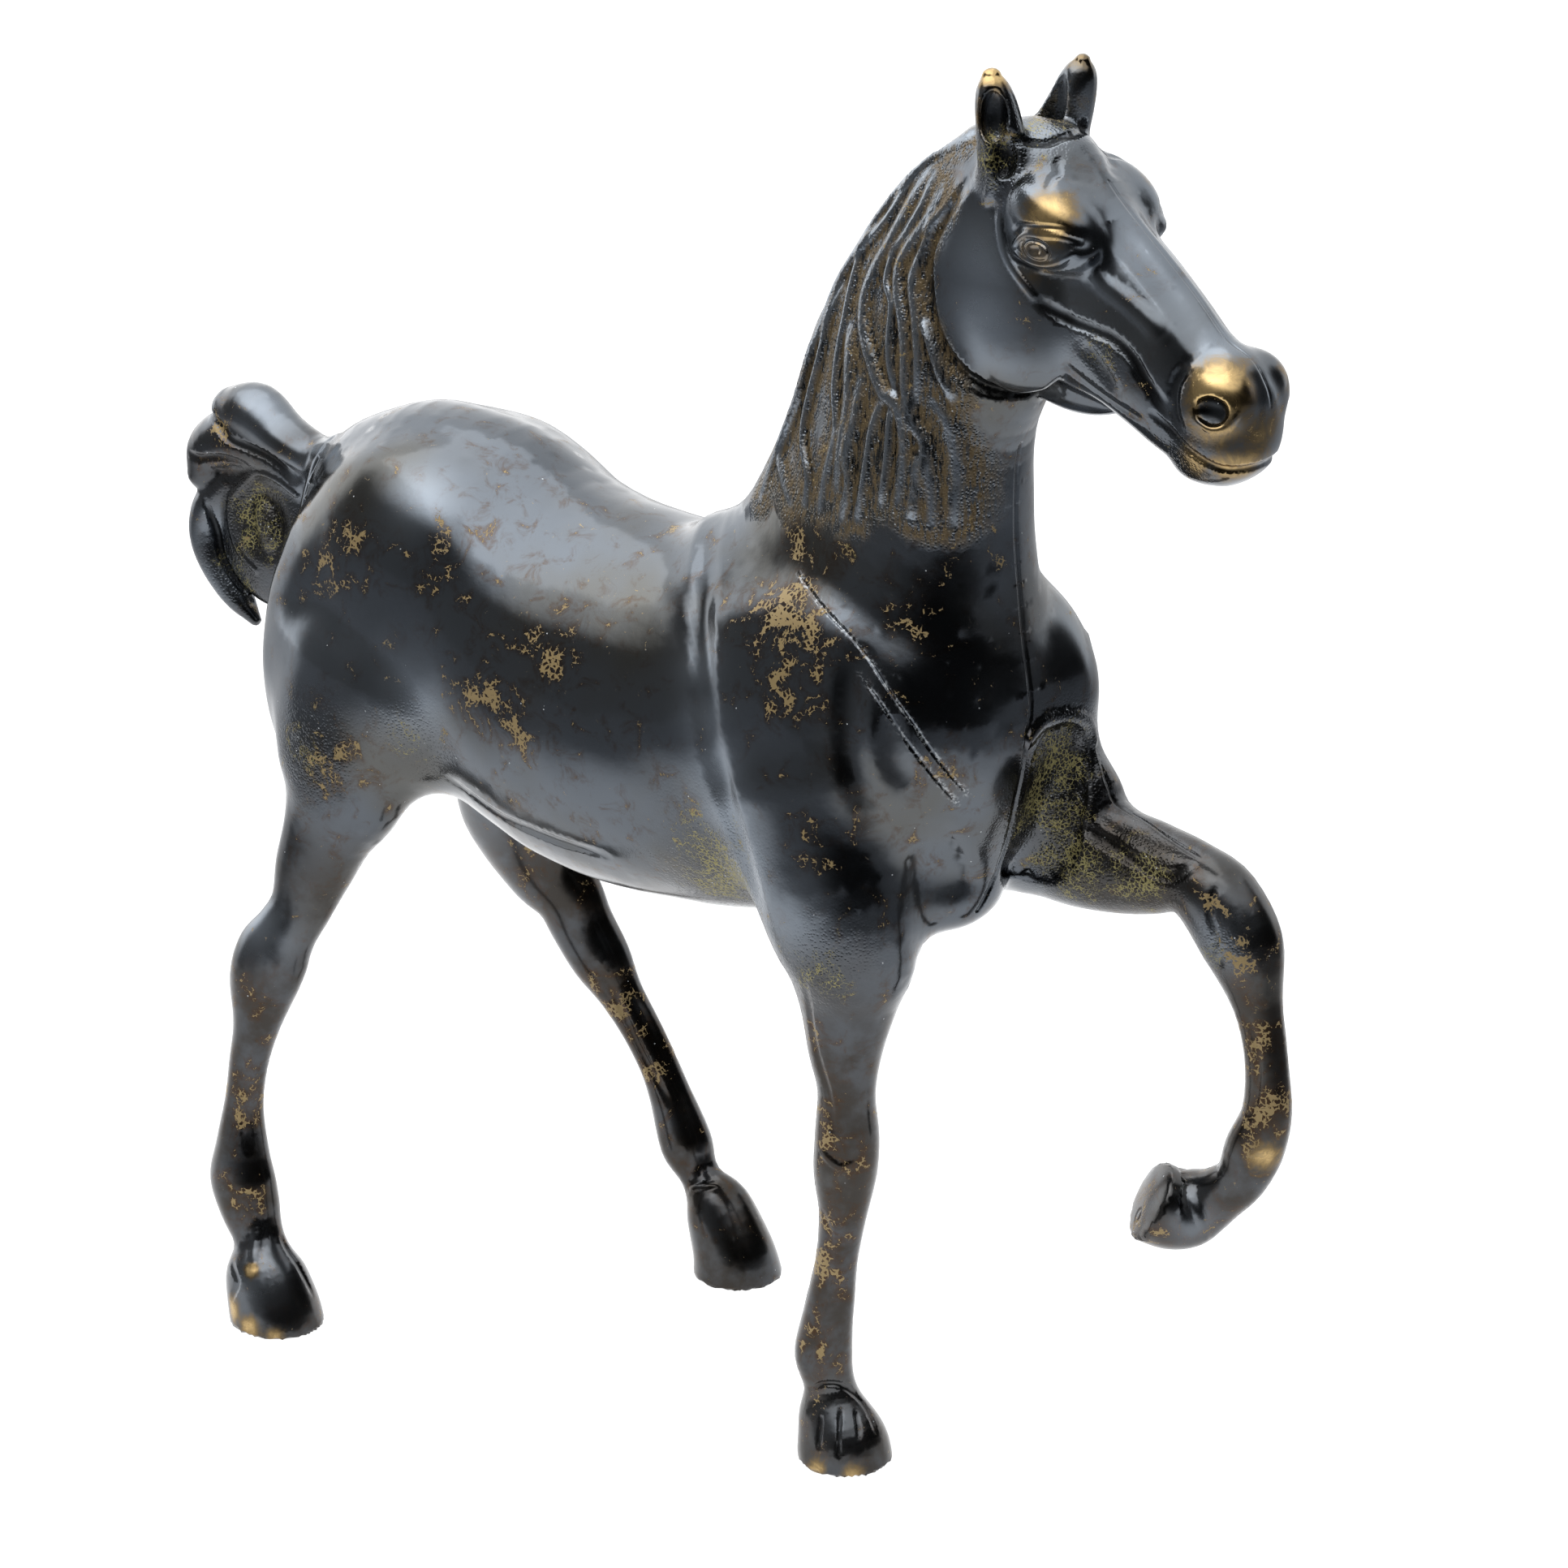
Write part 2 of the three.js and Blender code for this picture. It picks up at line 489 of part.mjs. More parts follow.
function drawHead(clay) {
  clay.drawPair([[54, 263.5], [50.5, 258.5], [47.2, 253], [46.2, 248.5], [47.2, 243], [49.5, 236.5], [53.5, 230.5],
    [59, 226.3], [65, 224.6], [70, 226]], 2, 1.3); // round the cheek
  clay.drawPair([[72, -12, 245.2], [77.8, -12, 242.6], [82.3, -11, 241.6], [87, -10.5, 240.4], [90.9, -10, 237.6],
    [93.6, -10, 234], [97.7, -9, 229.2]], 1.8, 1.1); // below the cheekbone
  clay.drawPair([[80.3, -11, 238.4], [84, -10.5, 235], [87, -10, 231]], 2.4, 0.9);
  clay.drawPair([[80.5, -12, 251.8], [86, -11, 249.4], [91, -10, 246.5], [96, -9, 242.5]], 2.6, -0.6);
  clay.drawPair([[82, -4.5, 260.5], [89, -4.5, 254], [96, -4.5, 247.5], [103, -4.5, 240.5]], 4, 0.9); // bridge
  clay.drawPair([[66, -14, 254.6], [67.5, -14.5, 256.6], [70, -15, 257.9], [74, -15, 258.6], [78, -15, 258.8],
    [82, -14, 258.4]], 1.2, -0.5); // upper lid
  clay.drawPair([[66.4, -14, 254], [69, -14.5, 253], [73, -15, 252.6], [76.5, -15, 253.6], [80, -14.5, 256]], 1.2,
    -0.5); // lower lid
  clay.drawPair([[67.5, -14, 252.4], [70.5, -14, 251.2], [74, -14, 251.1], [77.5, -14, 252.6], [80.5, -14, 255]],
    1.2, 0.6);
  clay.drawPair([[95, -9, 228], [99.5, -9, 224.6], [103.2, -8.5, 222.6], [108.2, -8, 220.4], [112.8, -5, 219.4],
    [114, 0, 219.2]], 1.3, 1); // mouth
  clay.drawPair([[64, -9.5, 273.5], [66, -7, 272.2], [68, -5, 271.8], [69.2, -2, 272.6], [69.6, 0, 272.9]], 1.4,
    1.3, { blunt: true }); // forelock
  clay.drawPair([[60.5, -14, 274], [61.5, -14, 269.5], [61, -13.5, 264.5], [59.5, -13, 261]], 1.4, -0.5);
}

function drawBody(clay) {
  clay.drawPair([[-9, -6, 184.5], [-3.5, -15.5, 179.5], [3, -24.5, 170.5], [8, -29.5, 160], [11.5, -31.5, 149.5],
    [16, -32, 139.5], [20, -31, 130.5], [24, -30, 122]], 4.5, 0.9); // back of the shoulder
  clay.drawPair([[41, -25.5, 173], [41, -28, 166.5], [42.5, -29, 156], [45, -27.5, 145.5]], 4.5, 0.9);
  clay.drawPair([[48.5, -25, 164.5], [49.5, -25.5, 156.5], [52, -23.5, 150]], 4, 0.8);
  clay.draw([[62, -1.5, 156], [62.5, 3, 158], [63.5, 10.5, 157], [64.5, 16, 154.5], [65.5, 18.5, 150.5]], 2.2,
    -0.9, { blunt: true }); // rim of the breast
  clay.draw([[64, 7.5, 148.5], [64.5, 6.5, 142], [62.5, 6, 135], [60, 6, 129]], 8.5, 2, { blunt: true, edge: 0.4 });
  clay.draw([[68.5, 11.5, 135], [73.5, 12.5, 132.5], [80.5, 12.5, 130.5], [86, 12.5, 129.5], [90.5, 14.5, 130.5]],
    2.5, 1);
}

function drawHair(clay) {
  const [widths, heights] = [[1.9, 1.5, 2.3, 1.4, 2], [1.2, 1, 1.3, 0.9]];
  LOCKS.forEach((lock, i) => clay.draw(lock, widths[i % widths.length], -heights[i % heights.length]));
  clay.drawPair([[-144.5, -3, 181.5], [-140.5, -5.5, 180], [-137, -6.5, 177.5], [-132, -6.5, 176.3],
    [-126, -5.8, 174.3], [-121.5, -4.5, 171]], 1.5, 1);
  clay.drawPair([[-148, -4, 172], [-143.5, -6.8, 172], [-139, -6.8, 172.6], [-134, -6, 171.6]], 1.4, 0.8);
  clay.drawPair([[-121.5, -3.5, 167.8], [-126, -4.8, 170], [-131, -5, 170], [-136, -5, 167.5], [-139.6, -5, 163],
    [-140.5, -5, 157.5], [-138.5, -4.5, 152], [-133.5, -4, 148.8]], 1.2, -0.6, { blunt: true }); // rim
  clay.drawPair([[-145.5, -4.5, 162], [-143.8, -5, 156], [-142.8, -4.6, 150], [-139.6, -3.6, 144],
    [-135.5, -2, 139]], 1.1, 0.9);
}

// Signed distances on a grid. Far from the surface each block of 4 cells keeps its corner's value.
function sampleClay(clay, cell) {
  const size = BOX.low.map((low, i) => Math.ceil((BOX.high[i] - low) / cell / 4) * 4 + 1);
  const [nx, ny, nz] = size;
  const values = new Float32Array(nx * ny * nz);
  const p = new THREE.Vector3();
  const at = (i, j, k) => clay.distance(p.set(BOX.low[0] + i * cell, BOX.low[1] + j * cell, BOX.low[2] + k * cell));
  const index = (i, j, k) => (i * ny + j) * nz + k;
  const reach = 4 * cell * 1.8 + 3;
  for (let i = 0; i < nx; i += 4)
    for (let j = 0; j < ny; j += 4)
      for (let k = 0; k < nz; k += 4) {
        const centre = at(Math.min(i + 2, nx - 1), Math.min(j + 2, ny - 1), Math.min(k + 2, nz - 1));
        const near = Math.abs(centre) < reach;
        for (let a = i; a < Math.min(i + 4, nx); a++)
          for (let b = j; b < Math.min(j + 4, ny); b++)
            for (let c = k; c < Math.min(k + 4, nz); c++) values[index(a, b, c)] = near ? at(a, b, c) : centre;
      }
  return { values, size, index, cell };
}

// Fills the few grid points that would leave two sheets of the surface touching at an edge or a corner.
function partSheets({ values, size, index }) {
  const [nx, ny, nz] = size;
  const inside = (n) => values[n] < 0;
  const fill = (...points) => {
    values[points.reduce((a, b) => (values[b] < values[a] ? b : a))] = -1e-3;
  };
  const face = (a, b, c, d) => {
    if (inside(a) !== inside(c) || inside(b) !== inside(d) || inside(a) === inside(b)) return false;
    if (inside(a)) fill(b, d);
    else fill(a, c);
    return true;
  };
  for (let changed = true; changed;) {
    changed = false;
    for (let i = 0; i < nx - 1; i++)
      for (let j = 0; j < ny - 1; j++)
        for (let k = 0; k < nz - 1; k++) {
          const n = [...Array(8).keys()].map((m) => index(i + (m & 1), j + ((m >> 1) & 1), k + ((m >> 2) & 1)));
          const full = n.filter(inside).length;
          if (full === 0 || full === 8) continue;
          if (face(n[0], n[1], n[3], n[2]) || face(n[0], n[1], n[5], n[4]) || face(n[0], n[2], n[6], n[4]))
            changed = true;
          for (let m = 0; m < 4 && (full === 2 || full === 6); m++) {
            if (inside(n[m]) !== (full === 2) || inside(n[7 - m]) !== (full === 2)) continue;
            if (full === 6) fill(n[m], n[7 - m]);
            else fill(n[m ^ 1], n[m ^ 2], n[m ^ 4]);
            changed = true;
          }
        }
  }
}

// One vertex in each cell that the surface crosses, at the mean of its crossings, and a quad over each edge.
function netSurface({ values, size, index, cell }) {
  const [nx, ny, nz] = size;
  const ids = new Int32Array(values.length).fill(-1);
  const positions = [];
  const triangles = [];
  const corners = [...Array(8).keys()].map((n) => [n & 1, (n >> 1) & 1, (n >> 2) & 1]);
  const edges = [];
  for (let a = 0; a < 8; a++) for (const bit of [1, 2, 4]) if (!(a & bit)) edges.push([a, a | bit]);
  const cellValues = new Float64Array(8);
  for (let i = 0; i < nx - 1; i++)
    for (let j = 0; j < ny - 1; j++)
      for (let k = 0; k < nz - 1; k++) {
        let inside = 0;
        for (let n = 0; n < 8; n++) {
          cellValues[n] = values[index(i + corners[n][0], j + corners[n][1], k + corners[n][2])];
          if (cellValues[n] < 0) inside++;
        }
        if (inside === 0 || inside === 8) continue;
        const sum = [0, 0, 0];
        let count = 0;
        for (const [a, b] of edges) {
          if (cellValues[a] < 0 === cellValues[b] < 0) continue;
          const t = cellValues[a] / (cellValues[a] - cellValues[b]);
          for (let n = 0; n < 3; n++) sum[n] += corners[a][n] + t * (corners[b][n] - corners[a][n]);
          count++;
        }
        ids[index(i, j, k)] = positions.length / 3;
        [i, j, k].forEach((v, n) => positions.push(BOX.low[n] + cell * (v + sum[n] / count)));
      }
  const quad = (a, b, c, d, flip) => {
    if (flip) triangles.push(a, c, b, a, d, c);
    else triangles.push(a, b, c, a, c, d);
  };
  for (let i = 1; i < nx - 1; i++)
    for (let j = 1; j < ny - 1; j++)
      for (let k = 1; k < nz - 1; k++) {
        const here = values[index(i, j, k)] < 0;
        if (here !== values[index(i + 1, j, k)] < 0)
          quad(ids[index(i, j - 1, k - 1)], ids[index(i, j, k - 1)], ids[index(i, j, k)], ids[index(i, j - 1, k)],
            !here);
        if (here !== values[index(i, j + 1, k)] < 0)
          quad(ids[index(i - 1, j, k - 1)], ids[index(i - 1, j, k)], ids[index(i, j, k)], ids[index(i, j, k - 1)],
            !here);
        if (here !== values[index(i, j, k + 1)] < 0)
          quad(ids[index(i - 1, j - 1, k)], ids[index(i, j - 1, k)], ids[index(i, j, k)], ids[index(i - 1, j, k)],
            !here);
      }
  return { positions: Float64Array.from(positions), triangles };
}

// Pulls each vertex onto the surface along the slope of the clay's distance.
function settle(clay, positions) {
  const p = new THREE.Vector3();
  for (let v = 0; v < positions.length; v += 3) {
    p.fromArray(positions, v);
    for (let step = 0; step < 2; step++) clay.pull(p, 0.4 * CELL);
    p.toArray(positions, v);
  }
}

// Collapses the edge that changes the shape least, again and again, until only so many faces are left.
class Simplifier {
  constructor({ positions, triangles }) {
    this.at = positions;
    this.faces = [];
    this.around = Array.from({ length: positions.length / 3 }, () => new Set());
    this.quadrics = new Float64Array((positions.length / 3) * 10);
    this.version = new Int32Array(positions.length / 3);
    for (let i = 0; i < triangles.length; i += 3) {
      const face = [triangles[i], triangles[i + 1], triangles[i + 2]];
      for (const v of face) this.around[v].add(this.faces.length);
      this.faces.push(face);
      this.addPlane(face);
    }
    this.left = this.faces.length;
    this.heap = [];
  }

  point(v) {
    return [this.at[3 * v], this.at[3 * v + 1], this.at[3 * v + 2]];
  }

  // Face normal with the length of twice the area.
  normal([a, b, c]) {
    const [ux, uy, uz] = [b[0] - a[0], b[1] - a[1], b[2] - a[2]];
    const [vx, vy, vz] = [c[0] - a[0], c[1] - a[1], c[2] - a[2]];
    return [uy * vz - uz * vy, uz * vx - ux * vz, ux * vy - uy * vx];
  }

  addPlane(face) {
    const points = face.map((v) => this.point(v));
    const n = this.normal(points);
    const long = Math.hypot(...n);
    if (long < 1e-9) return;
    const [x, y, z] = n.map((v) => v / long);
    const w = -(x * points[0][0] + y * points[0][1] + z * points[0][2]);
    const terms = [x * x, x * y, x * z, x * w, y * y, y * z, y * w, z * z, z * w, w * w];
    for (const v of face) for (let i = 0; i < 10; i++) this.quadrics[10 * v + i] += terms[i] * long;
  }

  error(q, [x, y, z]) {
    return q[0] * x * x + 2 * q[1] * x * y + 2 * q[2] * x * z + 2 * q[3] * x + q[4] * y * y + 2 * q[5] * y * z
      + 2 * q[6] * y + q[7] * z * z + 2 * q[8] * z + q[9];
  }

  // The best place for the vertex that replaces a and b, and what it costs.
  plan(a, b) {
    const q = new Float64Array(10);
    for (let i = 0; i < 10; i++) q[i] = this.quadrics[10 * a + i] + this.quadrics[10 * b + i];
    const [pa, pb] = [this.point(a), this.point(b)];
    const mid = pa.map((v, i) => (v + pb[i]) / 2);
    const long = Math.hypot(pa[0] - pb[0], pa[1] - pb[1], pa[2] - pb[2]);
    const det = q[0] * (q[4] * q[7] - q[5] * q[5]) - q[1] * (q[1] * q[7] - q[5] * q[2])
      + q[2] * (q[1] * q[5] - q[4] * q[2]);
    const choices = [mid, pa, pb];
    if (Math.abs(det) > 1e-4) {
      const [r, s, t] = [-q[3], -q[6], -q[8]];
      const best = [
        (r * (q[4] * q[7] - q[5] * q[5]) - q[1] * (s * q[7] - q[5] * t) + q[2] * (s * q[5] - q[4] * t)) / det,
        (q[0] * (s * q[7] - q[5] * t) - r * (q[1] * q[7] - q[5] * q[2]) + q[2] * (q[1] * t - s * q[2])) / det,
        (q[0] * (q[4] * t - s * q[5]) - q[1] * (q[1] * t - s * q[2]) + r * (q[1] * q[5] - q[4] * q[2])) / det,
      ];
      if (Math.hypot(best[0] - mid[0], best[1] - mid[1], best[2] - mid[2]) < long) choices.unshift(best);
    }
    let chosen = choices[0];
    for (const c of choices) if (this.error(q, c) < this.error(q, chosen)) chosen = c;
    return { cost: Math.max(this.error(q, chosen), 0) + 2e-4 * long ** 4, place: chosen };
  }

  push(a, b) {
    const { cost, place } = this.plan(a, b);
    const item = { cost, place, a, b, stamp: this.version[a] + this.version[b] };
    const heap = this.heap;
    let i = heap.length;
    heap.push(item);
    while (i > 0) {
      const up = (i - 1) >> 1;
      if (heap[up].cost <= item.cost) break;
      heap[i] = heap[up];
      i = up;
    }
    heap[i] = item;
  }

  pop() {
    const heap = this.heap;
    const top = heap[0];
    const item = heap.pop();
    if (heap.length === 0) return top;
    let i = 0;
    for (;;) {
      let child = 2 * i + 1;
      if (child >= heap.length) break;
      if (child + 1 < heap.length && heap[child + 1].cost < heap[child].cost) child++;
      if (heap[child].cost >= item.cost) break;
      heap[i] = heap[child];
      i = child;
    }
    heap[i] = item;
    return top;
  }

  neighbours(v) {
    const out = new Set();
    for (const f of this.around[v]) for (const w of this.faces[f]) if (w !== v) out.add(w);
    return out;
  }

  // Whether moving v to place keeps its faces, apart from those shared with other, well shaped and unturned.
  keepsShape(v, other, place) {
    for (const f of this.around[v]) {
      const face = this.faces[f];
      if (face.includes(other)) continue;
      const before = this.normal(face.map((w) => this.point(w)));
      const moved = face.map((w) => (w === v ? place : this.point(w)));
      const after = this.normal(moved);
      const [la, lb] = [Math.hypot(...after), Math.hypot(...before)];
      const dot = (after[0] * before[0] + after[1] * before[1] + after[2] * before[2]) / (la * lb + 1e-12);
      if (dot < 0.35) return false;
      let longest = 0;
      for (let i = 0; i < 3; i++) {
        const [p, q] = [moved[i], moved[(i + 1) % 3]];
        longest = Math.max(longest, (p[0] - q[0]) ** 2 + (p[1] - q[1]) ** 2 + (p[2] - q[2]) ** 2);
      }
      if (la < 0.12 * longest) return false;
    }
    return true;
  }

  collapse({ a, b, place }) {
    const shared = [...this.neighbours(a)].filter((v) => this.neighbours(b).has(v));
    if (shared.length !== 2) return;
    if (shared.some((v) => this.neighbours(v).size <= 3)) return;
    if (!this.keepsShape(a, b, place) || !this.keepsShape(b, a, place)) return;
    for (let i = 0; i < 3; i++) this.at[3 * a + i] = place[i];
    for (let i = 0; i < 10; i++) this.quadrics[10 * a + i] += this.quadrics[10 * b + i];
    for (const f of [...this.around[b]]) {
      const face = this.faces[f];
      if (face.includes(a)) {
        for (const v of face) this.around[v].delete(f);
        this.faces[f] = null;
        this.left--;
      } else {
        face[face.indexOf(b)] = a;
        this.around[a].add(f);
      }
    }
    this.around[b].clear();
    this.version[a]++;
    this.version[b]++;
    for (const v of this.neighbours(a)) this.push(a, v);
  }

  run(target) {
    for (const face of this.faces)
      for (let i = 0; i < 3; i++) if (face[i] < face[(i + 1) % 3]) this.push(face[i], face[(i + 1) % 3]);
    while (this.left > target && this.heap.length) {
      const edge = this.pop();
      if (edge.stamp !== this.version[edge.a] + this.version[edge.b]) continue;
      if (!this.around[edge.a].size || !this.around[edge.b].size) continue;
      this.collapse(edge);
    }
    const used = new Map();
    const positions = [];
    const triangles = [];
    for (const face of this.faces.filter(Boolean))
      for (const v of face) {
        if (!used.has(v)) {
          used.set(v, positions.length / 3);
          positions.push(...this.point(v));
        }
        triangles.push(used.get(v));
      }
    return { positions, triangles };
  }
}

const wasm = await Module();
wasm.setup();

const solid = ({ positions, triangles }) => new wasm.Manifold(new wasm.Mesh({
  numProp: 3,
  vertProperties: Float32Array.from(positions),
  triVerts: Uint32Array.from(triangles),
}));

// Cuts everything below z = 0 off, which leaves the soles flat.
function cutSoles(mesh) {
  const slab = new THREE.BoxGeometry(400, 200, 40).translate(0, 0, -20);
  slab.deleteAttribute("normal");
  slab.deleteAttribute("uv");
  const [positions, triangles] = [[], []];
  const seen = new Map();
  const at = slab.getAttribute("position");
  for (const i of slab.index.array) {
    const key = `${at.getX(i)},${at.getY(i)},${at.getZ(i)}`;
    if (!seen.has(key)) {
      seen.set(key, positions.length / 3);
      positions.push(at.getX(i), at.getY(i), at.getZ(i));
    }
    triangles.push(seen.get(key));
  }
  const cast = solid(mesh).subtract(solid({ positions, triangles })).getMesh();
  return new THREE.BufferGeometry()
    .setAttribute("position", new THREE.BufferAttribute(cast.vertProperties, 3))
    .setIndex(new THREE.BufferAttribute(cast.triVerts, 1));
}

function castHorse() {
  const clay = new Clay();
  modelTrunk(clay);
  modelNeckAndHead(clay);
  modelLegsAndTail(clay);
  drawHead(clay);
  drawBody(clay);
  drawHair(clay);
  clay.layCreases();
  const grid = sampleClay(clay, CELL);
  partSheets(grid);
  const net = netSurface(grid);
  settle(clay, net.positions);
  const geometry = cutSoles(new Simplifier(net).run(TRIANGLES));
  geometry.computeBoundingBox();
  const centre = geometry.boundingBox.getCenter(new THREE.Vector3());
  return geometry.translate(-centre.x, -centre.y, 0);
}

const horse = new THREE.Group();
const casting = new THREE.Mesh(castHorse(), new THREE.MeshStandardMaterial(BRONZE));
casting.name = "bronze_horse";
horse.add(casting);

export default horse;
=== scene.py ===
"""A patinated bronze statuette of a stepping horse, dressed over its packed casting.

The casting is modelled again here as finely as its carving needs. Tapering limbs and rounded masses run into
each other as clay does, creases are drawn on them, and the whole is meshed closely where the detail is fine.
Lengths are millimetres while the clay is worked and metres in Blender. +X is where the horse faces, +Y its
left side and +Z up, with the soles on z = 0.
"""

import logging
import math
from dataclasses import dataclass, field
from enum import Enum, IntEnum

import bpy
import numpy as np
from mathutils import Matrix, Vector

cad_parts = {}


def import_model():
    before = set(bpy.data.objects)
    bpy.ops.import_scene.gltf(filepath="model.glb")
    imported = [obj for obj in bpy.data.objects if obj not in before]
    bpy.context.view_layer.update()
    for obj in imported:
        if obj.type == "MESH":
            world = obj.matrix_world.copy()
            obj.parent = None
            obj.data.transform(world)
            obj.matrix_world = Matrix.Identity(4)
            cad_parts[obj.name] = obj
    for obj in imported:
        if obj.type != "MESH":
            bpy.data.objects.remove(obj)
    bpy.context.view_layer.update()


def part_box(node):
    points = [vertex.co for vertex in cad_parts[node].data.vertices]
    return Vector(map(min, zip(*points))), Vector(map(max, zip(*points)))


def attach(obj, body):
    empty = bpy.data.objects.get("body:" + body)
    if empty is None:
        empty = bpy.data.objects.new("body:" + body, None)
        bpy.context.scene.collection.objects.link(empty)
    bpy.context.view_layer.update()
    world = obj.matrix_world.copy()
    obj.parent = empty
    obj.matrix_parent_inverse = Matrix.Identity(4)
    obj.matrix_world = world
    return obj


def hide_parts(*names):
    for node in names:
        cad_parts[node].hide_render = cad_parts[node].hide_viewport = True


log = logging.getLogger("bronze_horse")

MM = 0.001
NODE = "bronze_horse"

Rows = tuple[tuple[float, ...], ...]
Array = np.ndarray
Tree = bpy.types.NodeTree
Socket = bpy.types.NodeSocket

# Distances in mm: what is given where a limb isn't near and where nothing is, how far off the surface creases
# are still worked out, and how far past a form its box reaches.
UNSEEN = 1e3
FAR = 60.0
SKIN = 4
MARGIN = 3


class Axis(IntEnum):
    """The axes, by their place in a row of coordinates."""

    X = 0
    Y = 1
    Z = 2


@dataclass(frozen=True)
class Ramp:
    """Spreads what comes in between start and end over low to high."""

    start: float
    end: float
    low: float = 0
    high: float = 1

    def at(self, values: Array) -> Array:
        """What goes out for each value."""
        share = np.clip((values - self.start) / (self.end - self.start), 0, 1)
        return self.low + (self.high - self.low) * share

    def inputs(self, value: Socket) -> dict[str, Socket | float]:
        """The same as the inputs of a range node."""
        return {"Value": value, "From Min": self.start, "From Max": self.end,
                "To Min": self.low, "To Max": self.high}


def unit(vectors: Array) -> Array:
    """Scales vectors to length 1.

    Args:
        vectors: Vectors in the last axis.

    Returns:
        The unit vectors.
    """
    return vectors / np.maximum(np.linalg.norm(vectors, axis=-1, keepdims=True), 1e-12)


def join(a: Array, b: Array, blend: float) -> Array:
    """Joins two distance fields as clay is smoothed together.

    Args:
        a: Distances to the first form.
        b: Distances to the second form.
        blend: How far the two run into each other, mm.

    Returns:
        Distances to both together.
    """
    h = np.clip(0.5 + 0.5 * (b - a) / blend, 0, 1)
    return b + (a - b) * h - blend * h * (1 - h)


def smooth_rows(rows: Rows, steps: int) -> Array:
    """Draws a smooth curve through rows of numbers.

    Args:
        rows: The rows that the curve passes.
        steps: How many pieces each span is split into.

    Returns:
        The rows of the curve.
    """
    known = np.asarray(rows, float)
    padded = np.vstack([2 * known[0] - known[1], known, 2 * known[-1] - known[-2]])
    out = []
    for a, b, c, d in zip(padded, padded[1:], padded[2:], padded[3:]):
        for step in range(steps):
            t = step / steps
            out.append(0.5 * (2 * b + (c - a) * t + (2 * a - 5 * b + 4 * c - d) * t**2
                              + (3 * b - a - 3 * c + d) * t**3))
    out.append(known[-1])
    return np.array(out)


def oval_distance(u: Array, v: Array, w: Array, radii: tuple, power: float = 2) -> Array:
    """Distance to an ellipsoid, or to a squarer one where power is over 2.

    Args:
        u: Offsets along the first axis, in radii.
        v: Offsets along the second axis, in radii.
        w: Offsets along the third axis, in radii.
        radii: The three radii, mm.
        power: The exponent of the section.

    Returns:
        Signed distances in mm.
    """
    if power == 2:
        near = np.sqrt(u * u + v * v + w * w) + 1e-9
        slope = np.sqrt((u / radii[0]) ** 2 + (v / radii[1]) ** 2 + (w / radii[2]) ** 2) + 1e-9
        return near * (near - 1) / slope
    u, v, w = np.abs(u) + 1e-9, np.abs(v) + 1e-9, np.abs(w) + 1e-9
    near = (u**power + v**power + w**power) ** (1 / power)
    less = power - 1
    slope = np.sqrt((u**less / radii[0]) ** 2 + (v**less / radii[1]) ** 2 + (w**less / radii[2]) ** 2)
    return (near - 1) * near**less / slope


@dataclass
class Form:
    """One piece of clay, or with hollow set, one that is scooped out."""

    blend: float = 4
    hollow: bool = False
    low: Array = field(init=False, repr=False)
    high: Array = field(init=False, repr=False)

    def distance(self, points: Array) -> Array:
        """Signed distance of each point to the form, mm."""
        raise NotImplementedError

    def apply(self, points: Array, so_far: Array) -> Array:
        """Adds the form to distances that are known so far.

        Args:
            points: The points measured.
            so_far: Their distances without this form.

        Returns:
            The distances with it.
        """
        low, high = points.min(0), points.max(0)
        if (low > self.high).any() or (high < self.low).any():
            return so_far
        inside = np.all((points > self.low) & (points < self.high), axis=1)
        if not inside.any():
            return so_far
        mine = self.distance(points[inside])
        known = so_far[inside]
        if self.hollow:
            so_far[inside] = -join(-known, mine, self.blend)
        else:
            so_far[inside] = join(known, mine, self.blend)
        return so_far


